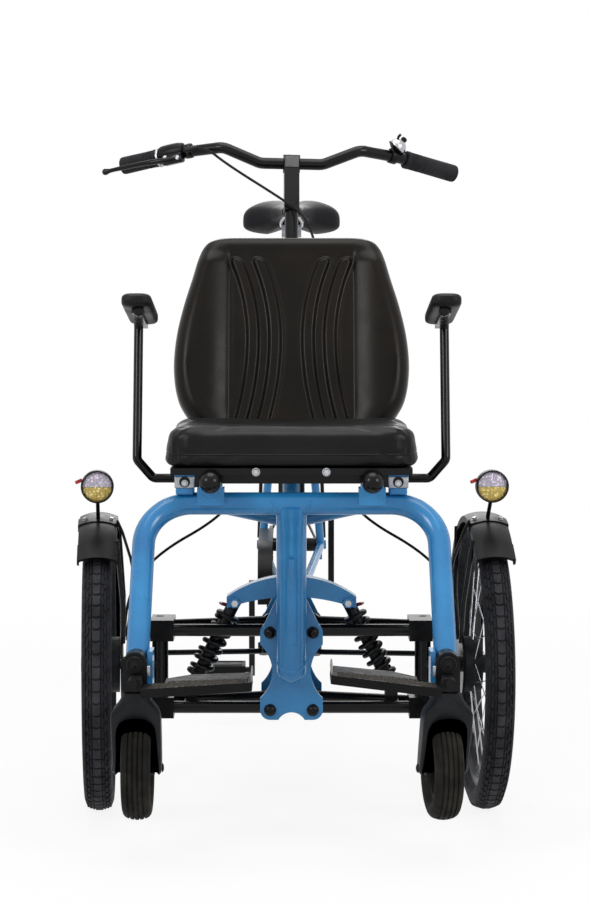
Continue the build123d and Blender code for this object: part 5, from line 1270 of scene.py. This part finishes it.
def shifter():
    """The twist shifter, its bright ring, the lever's perch and the long lever with a ball end."""
    bar = BarSide(RIGHT)
    ring = round_body([(-80.5, 11.2), (-80.5, 18.4), (-79.5, 19.0), (-77.0, 19.0), (-76.2, 18.4), (-76.2, 11.2),
                       (-80.5, 11.2)], 44)
    finished("shifter_ring", ring, STEEL, "handlebar", bar.place())
    pod = round_body([(-133.0, 9.8), (-133.0, 13.0), (-131.0, 15.4), (-122.0, 17.6), (-110.0, 18.4), (-97.0, 18.4),
                      (-89.0, 17.8), (-84.0, 17.0), (-82.0, 15.8), (-82.0, 9.8), (-133.0, 9.8)], 44)
    made = finished("shifter_pod", pod, HOUSING, "handlebar", bar.place(0, 0, 3.0))
    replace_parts(made, "bar_controls")
    perch = soft_box((44.0, 20.0, 20.0), 5.0, 3)
    finished("lever_perch", perch, BLACK, "handlebar", bar.place(112.0, 15.0, -11.0))
    clamp = round_body([(-7.0, 11.2), (-7.0, 13.8), (-5.5, 14.6), (5.5, 14.6), (7.0, 13.8), (7.0, 11.2),
                        (-7.0, 11.2)], 36)
    finished("lever_clamp", clamp, BLACK, "handlebar", bar.place(141.0))
    route = [(122.0, 18.0, -11.0), (104.0, 27.0, -12.5), (86.0, 31.0, -11.0), (60.0, 31.5, -9.5), (34.0, 30.5, -8.5),
             (10.0, 29.0, -8.0), (-8.0, 28.0, -7.8), (-20.0, 27.0, -7.8), (-26.0, 26.5, -7.8), (-31.0, 26.2, -7.8),
             (-35.0, 26.0, -7.8), (-37.5, 26.0, -7.8)]
    thick = [5.0, 5.4, 5.4, 5.0, 4.8, 4.6, 4.2, 4.2, 5.6, 6.8, 5.2, 1.0]
    finished("brake_lever", tube([bar.at(*p) for p in route], 0, 18, radii=thick), BLACK, "handlebar", HANDLEBAR)
    turn = HANDLEBAR.to_3x3()
    places = [(HANDLEBAR @ bar.at(126.0, 24.6, -11.0), turn @ bar.ahead, turn @ bar.up),
              (HANDLEBAR @ bar.at(100.0, 24.6, -6.0), turn @ bar.ahead, turn @ bar.up)]
    spotted("lever_screws", hex_head(6.0, 2.6, 0.6), places, STEEL, "handlebar")
    start, after = HANDLEBAR.inverted() @ Vector((-194.9, 531.5, 1171.4)), HANDLEBAR.inverted() @ Vector(
        (-167.7, 520.0, 1176.7))
    barrel = round_body([(-10.0, 0), (-10.0, 5.4), (2.0, 5.4), (4.0, 4.6), (12.0, 4.2), (14.0, 3.0), (14.0, 0)], 20)
    finished("cable_barrel", barrel, DARK_STEEL, "handlebar", HANDLEBAR @ along(start, after - start))


def bell():
    """A bright domed bell on a black strap, with its thumb lever."""
    bar = BarSide(LEFT)
    strap = round_body([(-7.5, 11.1), (-7.5, 14.2), (-6.0, 15.2), (6.0, 15.2), (7.5, 14.2), (7.5, 11.1),
                        (-7.5, 11.1)], 36)
    finished("bell_strap", strap, HOUSING, "handlebar", bar.place(140.0))
    way = (bar.up * 0.83 + bar.ahead * 0.35 + bar.out * 0.42).normalized()
    foot = bar.at(142.0, 3.0, 11.0)
    seat = round_body([(0, 0), (0, 9.0), (3.0, 14.0), (5.5, 18.4), (7.5, 18.8), (7.5, 0)], 36)
    finished("bell_seat", seat, HOUSING, "handlebar", HANDLEBAR @ along(foot, way))
    dome = [(7.0, 0), (7.0, 18.2), (8.2, 18.6)] + [
        (8.2 + 18.0 * math.sin(a), 18.4 * math.cos(a)) for a in [math.radians(8 * i) for i in range(1, 11)]] + [
        (26.2, 0)]
    finished("bell_dome", round_body(dome, 48), STEEL, "handlebar", HANDLEBAR @ along(foot, way), 40)
    knob = round_body([(25.0, 0), (25.0, 5.6), (27.0, 6.2), (31.0, 5.4), (32.5, 3.6), (33.0, 0)], 24)
    thumb = tube([(20.0, 9.0, 9.0), (25.0, 11.0, 11.0), (31.0, 11.0, 11.0)], 2.6, 12)
    finished("bell_knob", added(knob, thumb), HOUSING, "handlebar", HANDLEBAR @ along(foot, way))


shifter()
bell()
finished("clamp_plate", soft_box((26.0, 4.0, 20.0), 1.2), CLAMP_GREY, "handlebar",
         HANDLEBAR @ Matrix.Translation((0, 505.6, 1146.0)))


# Saddle behind the handlebar

# place along the saddle from its middle, half width, height of the top, depth of the side
SADDLE_ROWS = ((-170, 4, 1070, 10), (-166, 13, 1074, 17), (-158, 20, 1077, 22), (-120, 23, 1081, 27),
               (-80, 27, 1084, 31), (-40, 34, 1086, 35), (-10, 47, 1087, 40), (10, 63, 1090, 52), (28, 81, 1093, 62),
               (45, 97, 1096, 70), (60, 105, 1098, 75), (75, 103, 1097, 74), (86, 92, 1093, 68), (92, 74, 1085, 56),
               (95.5, 46, 1072, 36), (96.5, 16, 1058, 14))
SADDLE_MIDDLE = 1095.0


def saddle():
    """A wide saddle with a slim nose, two domed lobes, a channel between them and rolled sides."""
    shape = bmesh.new()
    rows, around = 66, 72
    starts = [row[0] for row in SADDLE_ROWS]
    rings = []
    for r in range(rows + 1):
        at = starts[0] + (starts[-1] - starts[0]) * (0.5 - 0.5 * math.cos(math.pi * r / rows)) ** 0.9
        half, top, deep = (smooth_table([(row[0], row[n]) for row in SADDLE_ROWS], at) for n in (1, 2, 3))
        middle = top - deep * 0.64
        rear = eased((at + 30.0) / 70.0)
        ring = []
        for i in range(around):
            a = 2 * math.pi * i / around
            c, s = math.cos(a), math.sin(a)
            x = half * math.copysign(abs(c) ** 0.8, c)
            if s >= 0:
                z = middle + (top - middle) * s ** 0.66
                z -= (10.0 * math.exp(-(x / 13.0) ** 2) * eased((at + 120.0) / 80.0) + 2.0 * rear) * s
                z += 3.0 * rear * math.exp(-((abs(x) - half * 0.5) / (half * 0.3)) ** 2) * s
            else:
                arch = 0.3 + 0.7 * min(1.0, abs(x) / (half * 0.5))
                z = middle - deep * 0.36 * abs(s) ** 0.6 * (arch * rear + 1 - rear)
            ring.append(shape.verts.new((x, SADDLE_MIDDLE + at, z)))
        rings.append(ring)
    made = finished("saddle_cover", skinned(shape, rings), SADDLE, "frame", crease=60)
    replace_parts(made, "saddle")
    rails = []
    for out in (22.0, -22.0):
        rails.append(tube([(out * 0.5, SADDLE_MIDDLE - 128.0, 1060.0), (out, SADDLE_MIDDLE - 92.0, 1046.0),
                           (out, SADDLE_MIDDLE - 40.0, 1041.0), (out, SADDLE_MIDDLE + 20.0, 1041.0),
                           (out * 1.6, SADDLE_MIDDLE + 62.0, 1050.0)], 3.5, 12))
    finished("saddle_rails", added(*rails), STEEL, "frame")


saddle()


# Cables

def cable(name, route, node=None):
    """A cable along its route, a smooth fixed curve from one body to the other."""
    curve = bpy.data.curves.new(name, "CURVE")
    curve.dimensions = "3D"
    curve.bevel_depth, curve.bevel_resolution, curve.resolution_u = 0.0025, 3, 24
    curve.use_fill_caps = True
    spline = curve.splines.new("NURBS")
    spline.points.add(len(route) - 1)
    for point, place in zip(spline.points, route):
        point.co = (*(TO_ROW @ Vector(place)), 1.0)
    spline.order_u = 3
    spline.use_endpoint_u = True
    holder = bpy.data.objects.new(name, curve)
    scene.collection.objects.link(holder)
    bpy.context.view_layer.update()
    mesh = bpy.data.meshes.new_from_object(holder.evaluated_get(bpy.context.evaluated_depsgraph_get()))
    bpy.data.objects.remove(holder)
    made = keep(name, mesh, RUBBER, None, 50)
    if node:
        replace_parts(made, node)
    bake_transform(made)


BAR_ROUTE = [(-194.9, 531.5, 1171.4), (-167.7, 520.0, 1176.7), (-124.0, 499.0, 1140.7), (-12.9, 469.4, 1070.3),
             (30, 452, 1038), (52, 420, 960), (24, 330, 690), (23, 300, 630), (18.8, 276.9, 585.8),
             (18.8, 244.4, 512.7)]
FRONT_ROUTE = [(118, 136, 510), (136, 84, 492), (224, 30, 446), (268, 14, 400), (289.25, 0, 345), (289.25, 0, 298)]
cable("gear_cable", BAR_ROUTE, "bar_cable")
for name, side in SIDES:
    cable(f"{name}_brake_cable", [(side * x, y, z) for x, y, z in FRONT_ROUTE],
          "front_brake_cables" if side == LEFT else None)


# Seat mounting

def seat_brackets():
    """A bright drilled block on a blue foot beside each knob, with its nut, under a blue cap, and a thin black disc on
    the block's face that is painted shade for the drilled hole.
    """
    blocks, feet, hole_shade_discs, nuts = [], [], [], []
    for side in (LEFT, RIGHT):
        x = side * 175.0
        blocks.append(moved(soft_box((33.6, 43.0, 20.0), 2.0), Matrix.Translation((x, -210.0, 583.5))))
        feet.append(moved(soft_box((30.0, 40.0, 12.0), 3.0), Matrix.Translation((x, -210.0, 568.6))))
        feet.append(moved(soft_box((34.0, 44.0, 3.0), 1.2), Matrix.Translation((x, -210.0, 594.4))))
        # a thin black disc on the block's face: painted shade where the drilled hole is
        hole_shade_disc = round_body([(0, 0), (0, 9.0), (1.0, 9.0), (1.0, 0)], 26)
        hole_shade_discs.append(moved(hole_shade_disc, along((x, -231.2, 584.0), (0, -1, 0))))
        nuts.append(((x, -231.6, 582.0), (0, -1, 0), (0, 0, 1)))
    made = finished("bright_brackets", added(*blocks), ALUMINIUM, "frame")
    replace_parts(made, "seat_brackets")
    finished("bracket_feet", added(*feet), BLUE, "frame")
    finished("bracket_holes", added(*hole_shade_discs), BLACK, "frame")
    spotted("bracket_nuts", hex_head(8.0, 5.0, 0.8), nuts, STEEL, "frame")
    collars = []
    for side in (LEFT, RIGHT):
        collar = round_body([(-18.0, 0), (-18.0, 17.0), (-15.0, 19.0), (17.0, 19.0), (21.0, 18.2), (23.0, 15.6),
                             (23.0, 0)], 36)
        collars.append(moved(collar, along((side * 132.0, -232.0, 575.0), (0, -1, 0))))
    finished("knob_cradles", added(*collars), BLUE, "frame")


seat_brackets()


# Bolts, nuts and welds

def traced(tree, points):
    """Where lines straight back from points in front of the chair meet a surface, and the way it faces."""
    hits = [touch(tree, point, (0, 1, 0)) for point in points]
    return [(spot, normal) for spot, normal in hits if spot is not None]


def fixings():
    """The caps on the centre plates, the carrier's bolts, the seat's bolts and the axle nuts."""
    front = (0, -1, 0)
    caps = [((side * 36.5, -83.4, z), front, (0, 0, 1)) for side in (LEFT, RIGHT) for z in (316.0, 183.0)]
    spotted("plate_bolt_caps", dome_head(10.5, 9.0), caps, BLACK, "frame")
    tips = [((side * 98.0, -22.6, 359.0), front, (0, 0, 1)) for side in (LEFT, RIGHT)]
    spotted("wing_bolts", hex_head(12.0, 6.0, 1.5), tips, STEEL, "frame")
    bolts = [(spot, front, (0, 0, 1))
             for spot, _ in traced(skin("seat_frame"), [(-58.0, -420.0, 601.0), (57.0, -420.0, 601.0)])]
    spotted("seat_bolts", hex_head(10.0, 7.0, 1.4), bolts, STEEL, "frame")
    for name, side in SIDES:
        wheel = FRONT_WHEEL[side]
        ends = [(wheel @ Vector((side * 20.0, 0, 0)), wheel.to_3x3() @ Vector((side, 0, 0)), (0, 0, 1))]
        spotted(f"{name}_axle_nut", hex_head(15.0, 9.0, 1.6), ends, STEEL, f"{name}_front_wheel")
    stays = [((out * 57.0, REAR_AXLE_Y, REAR_R), (out, 0, 0), (0, 0, 1)) for out in (1, -1)]
    spotted("back_axle_nuts", hex_head(15.0, 9.0, 1.6), stays, STEEL, "frame")


fixings()


def welds():
    """Weld beads where the column meets the cross tube and the centre plates."""
    tubes = skin("u_frame", "centre_column")
    for name, side in SIDES:
        points = [(side * (25.6 + 5.0 * (1 - t / 12) ** 2), -400.0, 551.0 - 25.0 * t / 12) for t in range(13)]
        weld(f"column_weld_{name}", traced(tubes, points), "frame")
    foot = skin("centre_column", "centre_plates")
    angles = [math.pi * (i / 28) - math.pi for i in range(29)]
    points = [(25.0 * math.cos(a), -400.0, 275.0 + 20.0 * math.sin(a)) for a in angles]
    weld("column_foot_weld", traced(foot, points), "frame")


welds()


# Chain

def chain_links():
    """Link plates and rollers on the chain's run, at its pitch."""
    front, rear = Vector((CRANK_Y, CRANK_Z)), Vector((REAR_AXLE_Y, REAR_R))
    big, small = 82.0, 34.0
    run = rear - front
    lean = math.atan2(run.y, run.x)
    open_angle = math.acos((big - small) / run.length)
    pitch = 12.7
    path = []

    def arc(centre, radius, first, last):
        steps = max(2, int(abs(last - first) * radius / 2))
        return [centre + Vector((math.cos(a), math.sin(a))) * radius
                for a in [first + (last - first) * i / steps for i in range(steps + 1)]]

    path += arc(front, big, lean + open_angle, lean + 2 * math.pi - open_angle)
    path += arc(rear, small, lean - open_angle, lean + open_angle)
    path.append(path[0])
    places, left_over = [], 0.0
    for near, far in zip(path, path[1:]):
        step = far - near
        while left_over <= step.length and step.length > 0:
            spot = near + step * (left_over / step.length)
            places.append(((-46.0, spot.x, spot.y), (1, 0, 0), (0, step.x / step.length, step.y / step.length)))
            left_over += pitch
        left_over -= step.length
    outline = [(3.9 * math.cos(math.radians(a)), 3.9 * math.sin(math.radians(a)) + (5.4 if a < 180 else -5.4))
               for a in (0, 45, 90, 135, 180, 225, 270, 315)]
    outline = [(x, y) if abs(y) > 5.4 else (x * 0.8, y) for x, y in outline]
    roller = moved(round_body([(-4.9, 0), (-4.9, 1.9), (4.9, 1.9), (4.9, 0)], 10),
                   Matrix.Translation((0, 5.4, 0)) @ UPRIGHT)
    link = added(slab(outline, 3.4, 4.4), slab(outline, -4.4, -3.4), roller)
    spotted("chain_links", link, places, DARK_STEEL, "frame")


chain_links()


# CAD nodes that stay, and their finishes

CAD_FINISHES = {
    "u_frame": BLUE, "centre_column": BLUE, "centre_plates": BLUE, "main_frame": BLUE, "rear_triangle": BLUE,
    "seat_cross_member": BLUE, "upper_arms": BLACK, "lower_arms": BLACK, "pivot_bolts": BLACK,
    "shock_dampers": DARK_STEEL, "left_knuckle": BLACK, "right_knuckle": BLACK, "left_mudguard": GUARD,
    "right_mudguard": GUARD, "rear_mudguard": GUARD, "luggage_rack": BLACK, "seat_post": ALUMINIUM,
    "chain_guard": GUARD, "cranks": BLACK, "left_pedal": PLASTIC, "right_pedal": PLASTIC, "stem": BLACK,
    "handlebar": BLACK, "left_tie_rod": BLACK, "right_tie_rod": BLACK, "seat_frame": BLACK, "seat_knobs": BLACK,
    "backrest_shell": PLASTIC, "left_armrest": BLACK, "right_armrest": BLACK, "castor_housings": HOUSING,
    "left_footplate": PLASTIC, "right_footplate": PLASTIC, "chain": DARK_STEEL, "tail_lamp": RED_LENS,
}
for node, finish in CAD_FINISHES.items():
    paint(node, [finish])


# Floor, light and background

def seen_plainly(tree):
    """1 for rays that show the background: the camera's own, and those off metal and through glass."""
    path = tree.nodes.new("ShaderNodeLightPath")
    value = path.outputs["Is Camera Ray"]
    for ray in ("Is Glossy Ray", "Is Transmission Ray"):
        either = tree.nodes.new("ShaderNodeMath")
        either.operation = "MAXIMUM"
        tree.links.new(value, either.inputs[0])
        tree.links.new(path.outputs[ray], either.inputs[1])
        value = either.outputs[0]
    return value


def mixed(tree, share, first, second, out):
    """The second shader where the share is 1, the first where it is 0."""
    mix = tree.nodes.new("ShaderNodeMixShader")
    for value, socket in ((share, mix.inputs[0]), (first.outputs[0], mix.inputs[1]),
                          (second.outputs[0], mix.inputs[2]), (mix.outputs[0], out.inputs[0])):
        tree.links.new(value, socket)


def pale_floor():
    """A floor that holds the shadow near the wheels and fades to the white background."""
    mesh = bpy.data.meshes.new("floor")
    mesh.from_pydata([(-9, -9, 0), (9, -9, 0), (9, 9, 0), (-9, 9, 0)], [], [(0, 1, 2, 3)])
    floor = bpy.data.objects.new("floor", mesh)
    scene.collection.objects.link(floor)
    material = bpy.data.materials.new("pale_floor")
    material.use_nodes = True
    tree = material.node_tree
    tree.nodes.clear()
    out, diffuse, glow = (tree.nodes.new("ShaderNodeOutputMaterial"), tree.nodes.new("ShaderNodeBsdfDiffuse"),
                          tree.nodes.new("ShaderNodeEmission"))
    diffuse.inputs["Color"].default_value = (0.88, 0.88, 0.88, 1)
    spot, reach, fade = (tree.nodes.new("ShaderNodeTexCoord"), tree.nodes.new("ShaderNodeVectorMath"),
                         tree.nodes.new("ShaderNodeMapRange"))
    reach.operation = "LENGTH"
    fade.inputs["From Min"].default_value, fade.inputs["From Max"].default_value = 1.2, 2.4
    fade.inputs["To Min"].default_value, fade.inputs["To Max"].default_value = 0.88, 1.0
    tree.links.new(spot.outputs["Object"], reach.inputs[0])
    tree.links.new(reach.outputs["Value"], fade.inputs["Value"])
    share = tree.nodes.new("ShaderNodeMath")
    share.operation = "MULTIPLY"
    tree.links.new(seen_plainly(tree), share.inputs[0])
    tree.links.new(fade.outputs["Result"], share.inputs[1])
    mixed(tree, share.outputs[0], diffuse, glow, out)
    mesh.materials.append(material)


def white_surroundings():
    """A soft even light that the camera, metal and glass see as white."""
    world = bpy.data.worlds.new("studio")
    scene.world = world
    world.use_nodes = True
    tree = world.node_tree
    tree.nodes.clear()
    out = tree.nodes.new("ShaderNodeOutputWorld")
    soft, white = tree.nodes.new("ShaderNodeBackground"), tree.nodes.new("ShaderNodeBackground")
    for background, strength in ((soft, 0.36), (white, 1.0)):
        background.inputs["Color"].default_value = (1, 1, 1, 1)
        background.inputs["Strength"].default_value = strength
    mixed(tree, seen_plainly(tree), soft, white, out)


# place, size and power of each soft box
SOFT_BOXES = (((-2.8, -3.2, 2.6), 1.4, 62.0), ((2.9, -3.0, 2.2), 1.4, 54.0), ((0.0, -0.6, 3.6), 2.4, 60.0),
              ((0.0, 3.4, 2.6), 2.4, 40.0))


def soft_boxes():
    """Square lamps that all look at the middle of the vehicle."""
    for i, (spot, size, power) in enumerate(SOFT_BOXES):
        light = bpy.data.lights.new(f"soft_box_{i}", "AREA")
        light.shape, light.size, light.energy = "SQUARE", size, power
        lamp = bpy.data.objects.new(f"soft_box_{i}", light)
        scene.collection.objects.link(lamp)
        lamp.location = spot
        lamp.rotation_euler = (Vector((0, 0, 0.5)) - Vector(spot)).to_track_quat("-Z", "Y").to_euler()


pale_floor()
white_surroundings()
soft_boxes()
